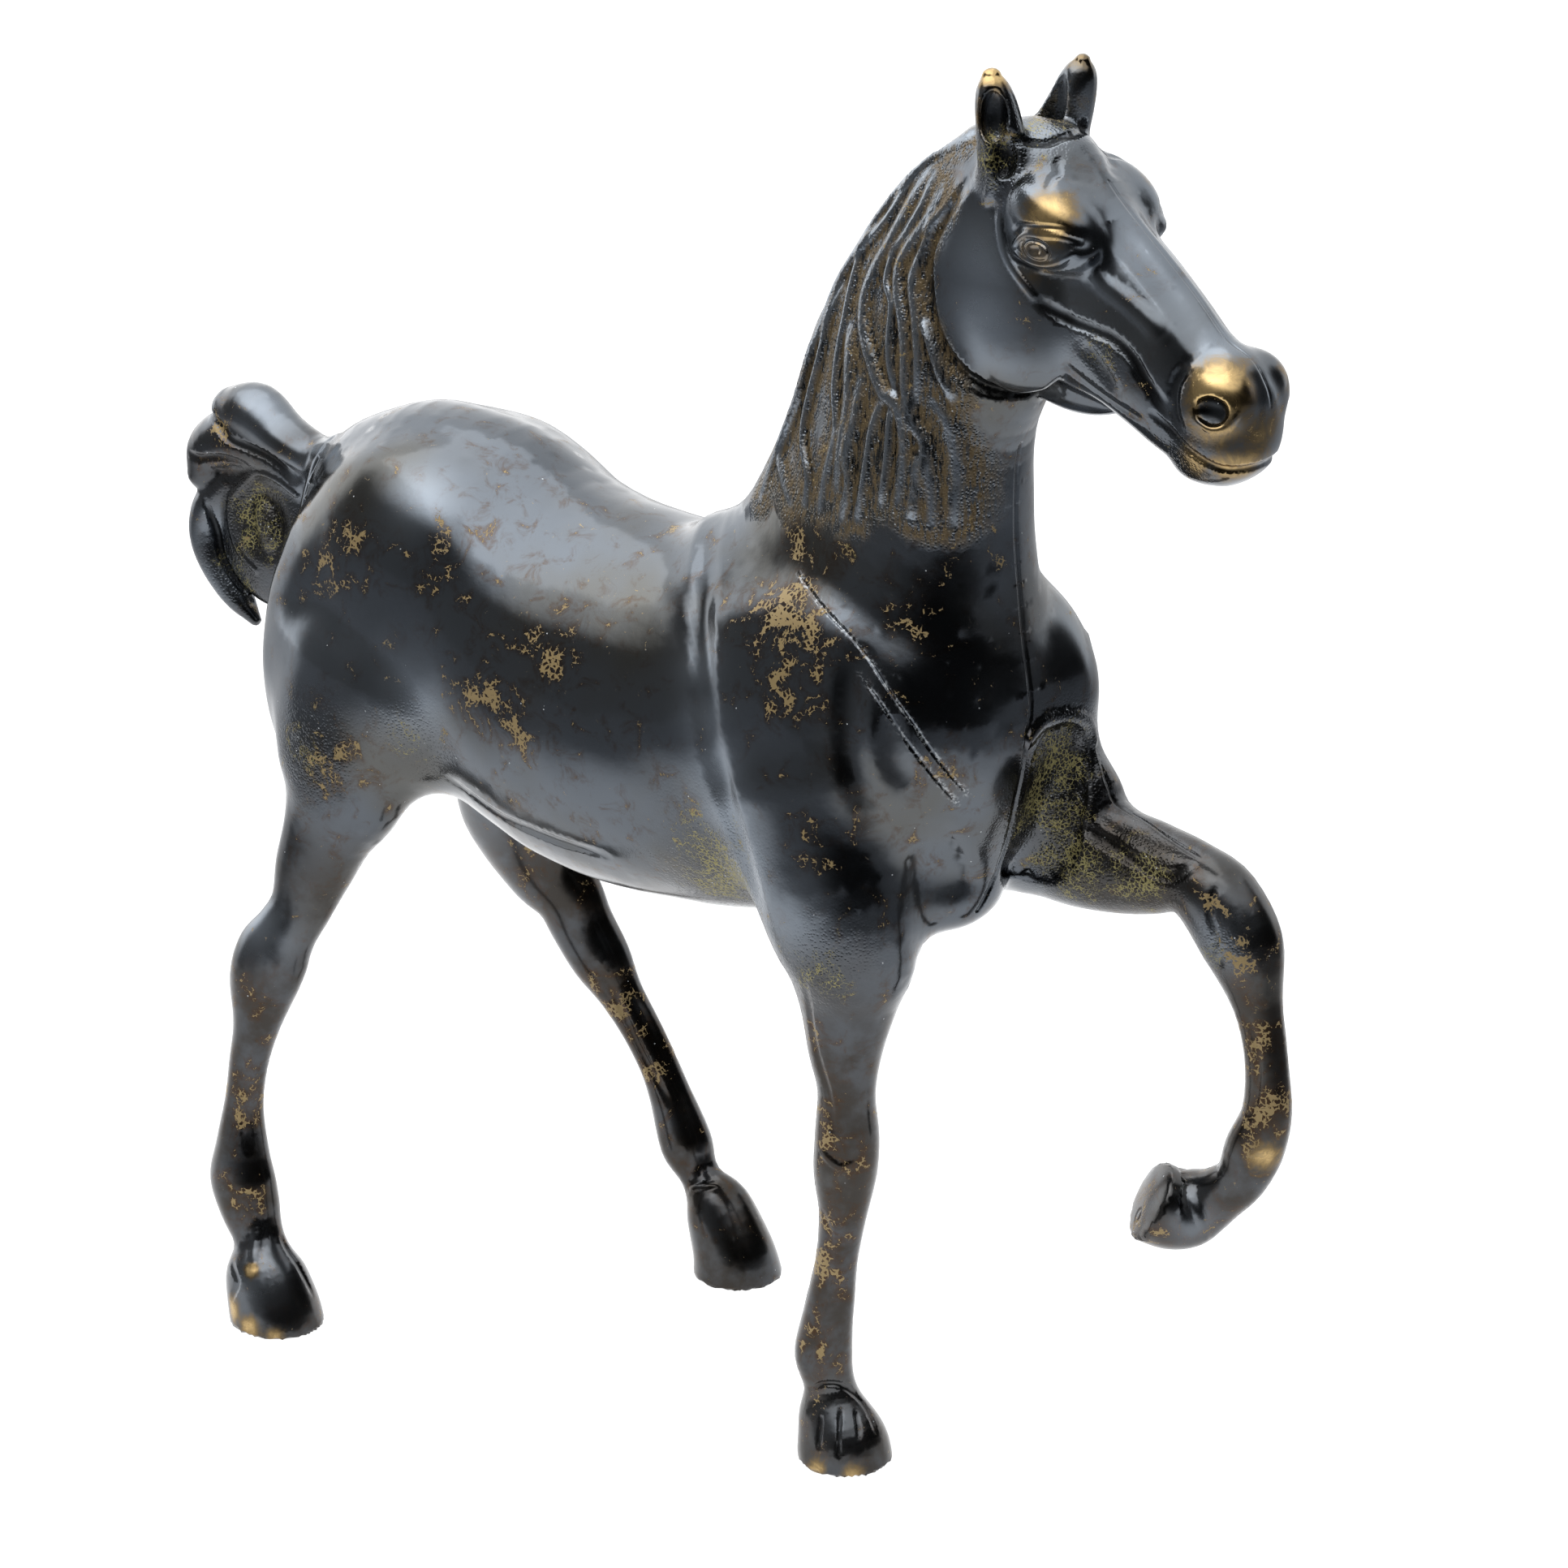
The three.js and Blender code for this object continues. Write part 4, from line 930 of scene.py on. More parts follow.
@dataclass
class Trunk:
    """Barrel, croup, shoulders and chest."""

    slices: Rows = (
        (-111, 182, -116.5, 150, 9.5), (-101, 188.2, -107.5, 134, 19.5), (-86, 193.5, -89, 122.2, 26),
        (-66, 191.8, -67, 111.5, 30), (-47, 183.5, -46, 105.3, 32.5), (-27, 181, -27, 104, 33),
        (-6, 181.3, -6, 106, 32), (14, 185, 14, 109, 30), (34, 183, 32, 111, 26), (50, 176, 45, 116, 20),
        (57, 164, 53, 127, 14),
    )
    croup: Pellet = Pellet((-79, 14, 163.5), (27, 15.5, 25), pitch=-6, blend=5, both=True)
    buttock: Pellet = Pellet((-99.2, 16, 141.5), (17, 12.5, 33), pitch=4, blend=5, both=True)
    thigh: Pellet = Pellet((-79, 20, 139), (19, 11.5, 22), blend=7, both=True)
    shoulder: Pellet = Pellet((24, 19, 152), (24, 12, 30), pitch=12, blend=7, both=True)
    breast: Pellet = Pellet((41, 13, 157), (17, 13, 20), blend=7, both=True)
    left_breast: Pellet = Pellet((49, 16, 158), (15.5, 13, 21), blend=6)
    breastbone: Pellet = Pellet((43, -2, 122), (12, 14, 8.5), blend=8)
    shoulder_back: Stroke = Stroke((
        (-9, -6, 184.5), (-3.5, -15.5, 179.5), (3, -24.5, 170.5), (8, -29.5, 160), (11.5, -31.5, 149.5),
        (16, -32, 139.5), (20, -31, 130.5), (24, -30, 122)), width=4.5, depth=0.9, both=True)
    shoulder_front: Stroke = Stroke((
        (41, -25.5, 173), (41, -28, 166.5), (42.5, -29, 156),
        (45, -27.5, 145.5)), width=4.5, depth=0.9, both=True)
    breast_furrow: Stroke = Stroke((
        (48.5, -25, 164.5), (49.5, -25.5, 156.5), (52, -23.5, 150)), width=4, depth=0.8, both=True)
    hollow_ridge: Stroke = Stroke((
        (62, -1.5, 156), (62.5, 3, 158), (63.5, 10.5, 157), (64.5, 16, 154.5),
        (65.5, 18.5, 150.5)), width=2.2, depth=-0.9, blunt=True)
    foreleg_hollow: Stroke = Stroke((
        (64, 7.5, 148.5), (64.5, 6.5, 142), (62.5, 6, 135),
        (60, 6, 129)), width=8.5, depth=2, blunt=True, edge=0.4)
    belly_fold: Stroke = Stroke((
        (-60.5, -26, 125), (-49.5, -26.5, 121.5), (-39.5, -27, 120.5), (-28, -27, 119.5),
        (-20.5, -26.5, 119.5)), width=2.2, depth=0.5)
    scores: tuple = (
        Stroke((
            (41.5, -25.5, 171), (46, -26, 167.5), (50.5, -24.5, 161), (54, -22.5, 155.5),
            (57.5, -16, 146)), width=0.5, depth=0.28),
        Stroke((
            (38.5, -24.5, 177.5), (43.5, -24.5, 173.5), (48.5, -24.5, 168), (53, -23.5, 162.5),
            (56, -21, 156.5), (59, -15, 148)), width=0.5, depth=0.28),
        Stroke(((22, -19, 185), (30.5, -23, 181.5), (38.5, -24.5, 177.5)), width=0.5, depth=0.28),
    )
    cast_seam: Stroke = Stroke((
        (58, 0, 213), (58.7, 0, 195), (59.5, 0, 178), (62, -0.5, 163), (63.5, -2.5, 157), (63, -3, 150.5),
        (61.5, -3.5, 141.5), (59, -2.5, 133.5), (56, -2, 126.5),
        (54.5, -5, 120)), width=0.8, depth=0.5, blunt=True)
    armpit_ridge: Stroke = Stroke((
        (65, 18, 150), (66, 17.5, 145.5), (68, 16.5, 142), (70.5, 18, 138)), width=1.1, depth=-0.5)
    scored: list[Crease] = field(default_factory=list)

    def model(self, clay: Clay) -> None:
        """Puts the trunk's forms on.

        Args:
            clay: The model.
        """
        clay.add(sliced(self.slices, blend=1, cap=0.5))
        clay.put(self.croup, self.buttock, self.thigh, self.shoulder, self.breast, self.left_breast,
                 self.breastbone)

    def carve(self, clay: Clay) -> None:
        """Draws the muscles' edges, the lines scored in the wax and the cast seam.

        Args:
            clay: The model.
        """
        clay.draw(self.shoulder_back, self.shoulder_front, self.breast_furrow, self.hollow_ridge,
                  self.foreleg_hollow, self.belly_fold)
        self.scored += clay.draw(*self.scores)
        clay.draw(self.cast_seam, self.armpit_ridge)


@dataclass
class Head:
    """Neck, head and ears."""

    neck: Rows = (
        (-14, 184, 57, 142, 26), (-4, 190.5, 62.2, 160, 22), (4, 205, 60, 181, 18),
        (10.5, 222, 58.6, 197, 16.4), (19.2, 240.6, 59.2, 212, 14.6), (33.5, 258.8, 63.6, 224, 13.4),
        (47.3, 271.4, 69, 240, 12.5),
    )
    skull: Rows = (
        (62, 273.5, 50, 243, 12), (72, 271.5, 60, 231.5, 12.4), (80, 263.5, 70.5, 227.5, 11.4),
        (88.5, 256, 79.5, 225.5, 11.1), (96.5, 248.8, 86.5, 222.3, 10.5), (103, 242.2, 92.5, 218.8, 9.5),
        (108, 237.4, 99, 216.2, 8.2), (111, 233.4, 105, 215.4, 7.6),
    )
    right_ear: Rows = (
        (60.8, -9, 264, 4.2, 4.8), (61, -9.6, 270, 4.5, 4.8), (60.6, -10, 275, 4.7, 4.3),
        (59.9, -10.2, 279.5, 4.3, 3.6), (59.2, -10.2, 282.6, 3.2, 2.7), (58.8, -10.1, 284.4, 1.8, 1.6),
    )
    left_ear: Rows = (
        (60, 8.5, 262, 6, 6.5), (60.8, 8.8, 270, 5.2, 5.4), (62.8, 9.2, 276, 4.6, 4.5),
        (64.2, 9.2, 280.3, 3.9, 3.7), (64.9, 9.2, 283, 2.9, 2.8), (65.2, 9.2, 284.6, 1.6, 1.5),
    )

    throat: Pellet = Pellet((72, 1.5, 228), (14.5, 5, 6.8), blend=1.5)
    cheek: Pellet = Pellet((62.5, 9, 243), (14.5, 5.5, 17.5), pitch=-25, blend=1.5, both=True)
    brow: Pellet = Pellet((73.5, 10.4, 260.8), (9, 5.2, 5.2), pitch=30, blend=6, both=True)
    tear_hollow: Pellet = Pellet((84.5, 14.6, 256.5), (4.5, 3, 3.4), pitch=30, blend=2, hollow=True,
                                 both=True)
    eyeball: Pellet = Pellet((74.6, 11.4, 255.2), (8, 4.3, 4), pitch=-5, blend=1.5, both=True)
    muzzle: Pellet = Pellet((105.1, 0, 227.2), (8.7, 9.8, 12), pitch=-6, power=2.5, blend=2.5)
    nostril_wing: Pellet = Pellet((106.5, 6, 231.5), (6.5, 4.8, 6.5), blend=2, both=True)
    nostril: Pellet = Pellet((108.2, 11, 230.8), (3.9, 3, 3.1), blend=0.6, hollow=True, both=True)
    chin: Pellet = Pellet((101.5, 0, 218.2), (6.5, 6, 3.6), pitch=-5, blend=3)
    poll: Pellet = Pellet((62, 0, 269.5), (9, 10, 5), blend=4)
    right_ear_cup: Pellet = Pellet((61.6, -13.2, 278.2), (2.3, 2.5, 5), blend=0.8, hollow=True)
    right_ear_root: Pellet = Pellet((64, -12.5, 271), (2.2, 2.2, 4.4), pitch=10, blend=1.2, hollow=True)
    left_ear_cup: Pellet = Pellet((61.4, 5, 276), (2.9, 2.6, 7.4), pitch=10, blend=0.8, hollow=True)
    jaw_edge: Stroke = Stroke((
        (54, 263.5), (50.5, 258.5), (47.2, 253), (46.2, 248.5), (47.2, 243), (49.5, 236.5), (53.5, 230.5),
        (59, 226.3), (65, 224.6), (70, 226)), width=2, depth=1.3, both=True)
    cheek_ridge: Stroke = Stroke((
        (63, -13, 263), (63, -13, 259), (64, -14, 255.5), (66, -14, 251.8), (69, -14, 248.6),
        (72, -14, 245.6)), width=1.2, depth=-0.5, both=True)
    cheek_furrow: Stroke = Stroke((
        (72, -12, 245.2), (77.8, -12, 242.6), (82.3, -11, 241.6), (87, -10.5, 240.4), (90.9, -10, 237.6),
        (93.6, -10, 234), (97.7, -9, 229.2)), width=1.8, depth=1.1, both=True)
    cheek_dent: Stroke = Stroke((
        (80.3, -11, 238.4), (84, -10.5, 235), (87, -10, 231)), width=2.4, depth=0.9, both=True)
    lower_cheek_fold: Stroke = Stroke((
        (76, -10, 233.5), (81, -10, 230), (87, -9.5, 227.8),
        (92.5, -9, 226.2)), width=1.6, depth=0.5, both=True)
    face_bone: Stroke = Stroke((
        (80.5, -12, 251.8), (86, -11, 249.4), (91, -10, 246.5),
        (96, -9, 242.5)), width=2.6, depth=-0.6, both=True)
    nose_side: Stroke = Stroke((
        (82, -4.5, 260.5), (89, -4.5, 254), (96, -4.5, 247.5),
        (103, -4.5, 240.5)), width=4, depth=0.9, both=True)
    muzzle_fold: Stroke = Stroke((
        (101.2, -8, 238), (99.4, -9, 234), (99.6, -9, 229.5),
        (101.6, -9, 225.6)), width=1.8, depth=0.6, both=True)
    mouth: Stroke = Stroke((
        (95, -9, 228), (99.5, -9, 224.6), (103.2, -8.5, 222.6), (108.2, -8, 220.4), (112.8, -5, 219.4),
        (114, 0, 219.2)), width=1.2, depth=1, both=True)
    nostril_rim: Stroke = Stroke((
        (105.4, -10, 228.4), (108, -10, 227.3), (110.8, -9, 228.2),
        (112.2, -8, 230.8)), width=0.9, depth=-0.3, both=True)
    forehead_crease: Stroke = Stroke((
        (71.5, -5.5, 270.5), (71, -6.5, 269), (72, -7.5, 267.5), (72, -9.5, 267),
        (73.5, -13, 266)), width=1.2, depth=0.35, both=True)
    forehead_dent: Stroke = Stroke((
        (74, -5.5, 267.2), (76, -3.5, 266.7)), width=2.6, depth=0.4, blunt=True, both=True)
    poll_edge: Stroke = Stroke((
        (64, -9.5, 273.5), (66, -7, 272.2), (68, -5, 271.8), (69.2, -2, 272.6),
        (69.6, 0, 272.9)), width=1.3, depth=1.3, blunt=True, both=True)
    ear_fold: Stroke = Stroke((
        (60.5, -14, 274), (61.5, -14, 269.5), (61, -13.5, 264.5),
        (59.5, -13, 261)), width=1.3, depth=-0.5, both=True)
    face_seam: Stroke = Stroke((
        (78.9, 0, 266.8), (84, 0, 261), (90.7, 0, 255.2), (99, 0, 247.6), (104.5, 0, 241.4), (110, 0, 236),
        (113.6, 0, 230.5)), width=0.6, depth=0.2)
    upper_lid: Stroke = Stroke((
        (66, -14, 254.6), (67.5, -14.5, 256.6), (70, -15, 257.9), (74, -15, 258.6), (78, -15, 258.8),
        (82, -14, 258.4)), width=0.9, depth=-0.5, both=True)
    lid_fold: Stroke = Stroke((
        (66.5, -14, 257.5), (69, -14.5, 259.4), (74, -15, 260.3),
        (79, -14.5, 260.3)), width=0.9, depth=0.45, both=True)
    lower_lid: Stroke = Stroke((
        (66.4, -14, 254), (69, -14.5, 253), (73, -15, 252.6), (76.5, -15, 253.6),
        (80, -14.5, 256)), width=0.9, depth=-0.5, both=True)
    lower_fold: Stroke = Stroke((
        (67.5, -14, 252.4), (70.5, -14, 251.2), (74, -14, 251.1), (77.5, -14, 252.6),
        (80.5, -14, 255)), width=1.1, depth=0.6, both=True)
    iris_centre: tuple = (72.8, -15, 255.5)
    iris_radii: tuple = (3.2, 1.8)
    iris_points: int = 9
    pupil: Stroke = Stroke((
        (72.2, -15, 255.4), (73.4, -15, 255.6)), width=1.1, depth=0.5, blunt=True, both=True)

    def model(self, clay: Clay) -> None:
        """Puts the head's forms on.

        Args:
            clay: The model.
        """
        clay.add(sliced(self.neck, blend=8, egg=0.3))
        clay.add(sliced(self.skull, blend=5, power=2.3, cap=0.5, egg=0.1))
        clay.put(self.throat, self.cheek, self.brow, self.tear_hollow, self.eyeball, self.muzzle,
                 self.nostril_wing, self.nostril, self.chin, self.poll)
        clay.add(Limb(rows=self.right_ear, blend=1.8), Limb(rows=self.left_ear, blend=1.8))
        clay.put(self.right_ear_cup, self.right_ear_root, self.left_ear_cup)

    def carve(self, clay: Clay) -> None:
        """Draws the face and the eyes.

        Args:
            clay: The model.
        """
        clay.draw(self.jaw_edge, self.cheek_ridge, self.cheek_furrow, self.cheek_dent, self.lower_cheek_fold,
                  self.face_bone, self.nose_side, self.muzzle_fold, self.mouth, self.nostril_rim,
                  self.forehead_crease, self.forehead_dent, self.poll_edge, self.ear_fold, self.face_seam)
        clay.draw(self.upper_lid, self.lid_fold, self.lower_lid, self.lower_fold)
        iris = ring(self.iris_centre, self.iris_radii, self.iris_points)
        clay.draw(Stroke(iris, width=0.55, depth=0.3, blunt=True, both=True), self.pupil)


@dataclass
class Mane:
    """Locks combed down the right of the neck: x, z of each lock in side view.

    Their half widths and heights take turns, in mm. The rough channels reach so far from a lock's middle.
    """

    widths: tuple = (1.9, 1.5, 2.3, 1.4, 2)
    heights: tuple = (1.2, 1, 1.3, 0.9)
    locks: Rows = (
        ((50, 271), (40, 265.5), (34, 259.5), (28.5, 252), (24, 244.5), (20, 238), (18, 230.5), (15.5, 223),
         (13, 215.5), (9, 207.5), (6, 199.5), (5, 194)),
        ((40.5, 265.5), (36, 259.5), (32, 252.5), (26.5, 246), (25.5, 240), (25.5, 234.5), (25, 227.5),
         (25.5, 220), (27.5, 213), (25.5, 204), (24.5, 197.5)),
        ((41, 263.5), (38, 256), (35, 249.5), (32, 244), (30.5, 238.5), (31.5, 233.5), (34.5, 228.5),
         (38.5, 223), (42.5, 221), (44.5, 215), (44.5, 207.5), (44, 203)),
        ((43, 263), (42, 257.5), (39, 251.5), (36.5, 247.5), (36, 242.5), (38.5, 239), (39, 232.5),
         (40, 227.5), (42, 223)),
        ((46.5, 261), (44.5, 255.5), (41.5, 251), (39, 246.5), (39.5, 242), (42, 236.5), (43.5, 230.5),
         (44, 224.5), (46, 218.5), (48.5, 214.5), (50, 206.5), (50.5, 199)),
        ((50, 259), (46.5, 255), (45, 250), (43, 244.5), (45, 238), (46.5, 231), (46.5, 224), (45.5, 221)),
        ((47, 237.5), (49.5, 233), (51.5, 228), (53.5, 224)),
        ((49.5, 222.5), (52, 220), (53.5, 214.5), (54, 207), (53.5, 199)),
        ((22, 238.5), (20, 231.5), (19, 224.5), (17.5, 218), (16.5, 211.5), (17.5, 207), (20, 202.5),
         (20, 197)),
        ((15.5, 231), (15, 224.5), (14, 216.5), (11.5, 210), (9, 203.5), (12, 199.5), (15.5, 196)),
        ((32.5, 223.5), (32.5, 216), (31.5, 209), (32.5, 203.5), (31, 197)),
        ((39, 222), (37, 216), (36.5, 210.5), (36, 204.5), (35, 198)),
        ((27.5, 232.5), (29, 225.5), (30, 218.5), (29.5, 210.5), (29, 202.5)),
        ((41, 220.5), (41, 214.5), (41, 208.5), (40.5, 202)),
        ((47.5, 212.5), (47.5, 206.5), (47, 200)),
    )
    channel_reach: float = 4
    channel_gain: float = 2.2
    channel_floor: float = 0.5
    ridge_square: float = 0.8
    right_side: Ramp = Ramp(-1, -3)
    drawn: list[Crease] = field(default_factory=list)

    def carve(self, clay: Clay) -> None:
        """Draws the locks.

        Args:
            clay: The model.
        """
        for i, lock in enumerate(self.locks):
            width, height = self.widths[i % len(self.widths)], self.heights[i % len(self.heights)]
            self.drawn += clay.draw(Stroke(lock, width, -height))

    def comb(self, points: Array) -> tuple[Array, Array]:
        """How much each point lies in the rough channels between the locks, and on a lock's ridge.

        Args:
            points: The points measured.

        Returns:
            Two shares from 0 to 1.
        """
        near, ridge = np.zeros(len(points)), np.zeros(len(points))
        for crease in self.drawn:
            square, _ = crease.reach(points)
            near = np.maximum(near, np.exp(-square / self.channel_reach**2))
            ridge = np.maximum(ridge, np.exp(-square / self.ridge_square))
        right = self.right_side.at(points[:, Axis.Y])
        channels = np.clip(self.channel_gain * near - self.channel_floor, 0, 1)
        return channels * (1 - ridge) * right, ridge * right


@dataclass
class Legs:
    """Four legs, the left foreleg raised: x, y, z, half width and half depth down each."""

    right_fore: Rows = (
        (26, -20, 142, 13, 18), (32, -21.5, 126, 13.2, 16.8), (35.5, -21, 112, 12.2, 14.3),
        (35.2, -20.5, 102, 9.1, 10.2), (34.4, -20, 91, 6.9, 7.6), (34.5, -19.5, 82, 5.3, 5.8),
        (34.2, -19, 72.5, 6, 6.3), (33.3, -18.5, 64.6, 6.2, 6.3), (32.5, -18, 55.4, 4.9, 5),
        (30.9, -17.5, 46, 4.2, 4.3), (29.2, -17, 36.5, 4.3, 4.8), (27.2, -16.5, 27, 5, 5.5),
        (26.6, -16.5, 21.2, 5.3, 5.8), (27.8, -16, 15.1, 4.8, 5.1), (28.8, -16, 10, 6.7, 7),
        (30.7, -16, 4.5, 8.6, 8.9), (31.6, -16, 0, 9.1, 9.3), (31.8, -16, -5, 9.3, 9.5),
    )
    left_fore: Rows = (
        (46, 17, 137, 12, 24.5), (58, 18.5, 131, 11, 17.3), (65, 19, 127.7, 9.8, 12.9),
        (71.5, 19, 126.8, 9, 10.6), (79.3, 19, 127.2, 8.2, 9.1), (87, 19, 127.3, 7.2, 7.2),
        (94, 19, 123.8, 7.6, 8.2), (99.2, 19, 116.2, 7.3, 8), (103.2, 19, 105.3, 4.8, 4.9),
        (105.3, 19, 95.1, 3.9, 4.3), (106, 19, 84, 4.4, 4.9), (103.6, 19, 75.5, 5.4, 6),
        (100.7, 19, 68.2, 4.6, 5.1), (96, 19, 63.6, 4.9, 5.5), (92.6, 18.4, 61.1, 6.1, 6.8),
        (89.6, 17, 59.4, 7.1, 7.9), (86.9, 14.9, 59.4, 7.7, 8.4), (84.4, 12.2, 61, 7.9, 8.5),
    )
    right_hind: Rows = (
        (-84.5, -21, 142, 13.5, 22), (-88.6, -24, 127, 12.5, 17.6), (-89.6, -26, 116.5, 10.6, 14),
        (-92.6, -27.5, 108, 8.2, 9.9), (-95.7, -29, 99, 7.3, 8.2), (-97.6, -31, 91, 6, 6.5),
        (-100.2, -33, 85.5, 6.2, 6.6), (-102.6, -34.5, 80.5, 6.6, 8), (-104.7, -35.5, 73.7, 6.3, 7.8),
        (-106.6, -36, 64.2, 4.8, 5.2), (-109, -36.5, 54.5, 3.8, 4.1), (-110.3, -37, 45.2, 3.9, 4.3),
        (-110.6, -37.5, 36.1, 5, 6.2), (-110.3, -38, 29, 5.8, 7.8), (-108.2, -38.4, 22.1, 5.8, 7),
        (-105.2, -39.2, 16.4, 5.3, 5.7), (-103.2, -40.2, 11, 7.9, 8.5), (-101, -40.6, 5.4, 9, 9.6),
        (-99.2, -40.8, 0, 9.6, 10.2), (-98.8, -40.8, -5, 9.7, 10.4),
    )
    left_hind: Rows = (
        (-76, 22, 142, 13, 21), (-79.5, 24, 126, 12, 20), (-84, 26.5, 112, 10.8, 17.5),
        (-90, 28, 100, 9.8, 15.4), (-88.4, 29.5, 91, 8.6, 13), (-84.4, 31, 83.5, 7.6, 10.6),
        (-79.5, 32.3, 77.5, 6.7, 8.4), (-76.6, 33, 71.5, 6.4, 7.5), (-72, 34, 64, 6.1, 6.9),
        (-67.7, 35, 57.3, 4.8, 5.2), (-62.9, 35.5, 50.8, 4.3, 4.7), (-58.4, 36, 43.4, 4.1, 4.4),
        (-55.6, 36.5, 36.8, 4.5, 4.8), (-51.3, 36.6, 26.2, 5.4, 6), (-47.2, 36.4, 19.8, 4.3, 4.6),
        (-42.8, 36.2, 14.6, 6.8, 7.4), (-38.4, 36.2, 6.2, 8.4, 8.8), (-37, 36.2, 0, 9.3, 9.5),
        (-36.5, 36.2, -5, 9.5, 9.7),
    )

    forearm_furrow: Stroke = Stroke((
        (63.5, 10.5, 138), (67.5, 11.5, 135), (75, 12.5, 132), (82.5, 12.5, 129.5), (87.5, 13, 129.5),
        (90.5, 14, 131.5)), width=2, depth=1)
    forearm_seam: Stroke = Stroke((
        (66, 18, 145.5), (69, 18, 140), (73, 19, 137), (82, 17, 135), (91, 16, 133)), width=0.8, depth=0.4)
    knee_side: Stroke = Stroke((
        (96.5, 13, 129), (96.5, 11.5, 124.5), (98, 11.5, 120.5), (97, 12, 116.5)), width=1.2, depth=0.5)
    knee_dot: Stroke = Stroke(((99, 12, 115.4), (99, 12, 114.6)), width=1.2, depth=0.6, blunt=True)
    raised_tendon: Stroke = Stroke((
        (103.5, 14.5, 104.5), (105.5, 15, 99.5), (106, 15, 94.5), (106, 15, 88.5),
        (105, 15, 84)), width=1.2, depth=0.5)
    raised_fetlock: Stroke = Stroke((
        (93, 13, 64.5), (95.5, 13, 60), (95.5, 15.5, 54.5)), width=1.2, depth=-0.5)
    hoof_mark: tuple = (82.5, 10.5, 58)
    hoof_mark_radii: tuple = (1.4, 1.6)
    hoof_mark_points: int = 7
    elbow_tendon: Stroke = Stroke((
        (34.5, -33, 111.5), (33, -29.5, 103), (32.5, -27.5, 95), (34, -25.5, 85),
        (35, -25, 76)), width=1.3, depth=0.4)
    knee_ridge: Stroke = Stroke((
        (32.5, -25, 70.5), (36.5, -24.5, 68), (39, -22.5, 69)), width=1.3, depth=-0.4)
    fore_tendon: Stroke = Stroke((
        (31.5, -23, 56), (32.5, -22, 51.5), (31.5, -21.5, 43.5), (29.5, -21, 35.5), (28, -21.5, 26.5),
        (27, -21.5, 20.5)), width=1.3, depth=0.5)
    fore_coronet: Stroke = Stroke((
        (27, -21, 15.5), (29.5, -20.5, 17.5), (32, -18, 17), (34.5, -14.5, 12.5),
        (39, -15.5, 8)), width=1, depth=0.5)
    hoof_grooves: tuple = (
        Stroke(((30.5, -22, 11.5), (31.5, -24, 5.5)), width=0.9, depth=0.45),
        Stroke(((33.5, -20, 12.5), (35.5, -23, 4.5)), width=0.9, depth=0.45),
        Stroke(((35.5, -17.5, 12), (38, -19.5, 8)), width=0.9, depth=0.45),
    )
    hock_tendon: Stroke = Stroke((
        (-106, -40, 52), (-105.5, -41, 46), (-104.5, -42, 37.5)), width=1.4, depth=0.6)
    hind_fetlock: Stroke = Stroke((
        (-102.5, -42.5, 21.5), (-102, -43.5, 17.5), (-100.5, -46, 15)), width=1.6, depth=-0.5)
    hind_pastern: Stroke = Stroke((
        (-106.5, -46, 13), (-103, -48.5, 10.5), (-104.5, -48.5, 6.5)), width=1.2, depth=0.5)
    hind_coronet: Stroke = Stroke((
        (-99.5, -38, 18), (-95.5, -38.5, 13.5), (-92, -37.5, 7)), width=1.2, depth=0.45)
    far_coronet: Stroke = Stroke((
        (-46.5, 32, 18), (-43, 32.5, 20), (-40, 34.5, 20.5)), width=1.2, depth=-0.5)
    far_tendon: Stroke = Stroke((
        (-69.5, 29.5, 65), (-64, 32, 54.5), (-58, 32.5, 44.5), (-53, 33, 36.5)), width=1.3, depth=0.5)

    def model(self, clay: Clay) -> None:
        """Puts the legs on.

        Args:
            clay: The model.
        """
        clay.add(Limb(rows=self.right_fore, blend=7), Limb(rows=self.left_fore, blend=5, cap=0.15))
        clay.add(Limb(rows=self.right_hind, blend=5), Limb(rows=self.left_hind, blend=5))

    def carve(self, clay: Clay) -> None:
        """Draws joints, tendons, coronets and the grooves of the hooves.

        Args:
            clay: The model.
        """
        mark = ring(self.hoof_mark, self.hoof_mark_radii, self.hoof_mark_points)
        clay.draw(self.forearm_furrow, self.forearm_seam, self.knee_side, self.knee_dot, self.raised_tendon,
                  self.raised_fetlock, Stroke(mark, width=0.6, depth=0.35, blunt=True))
        clay.draw(self.elbow_tendon, self.knee_ridge, self.fore_tendon, self.fore_coronet, *self.hoof_grooves)
        clay.draw(self.hock_tendon, self.hind_fetlock, self.hind_pastern, self.hind_coronet, self.far_coronet,
                  self.far_tendon)


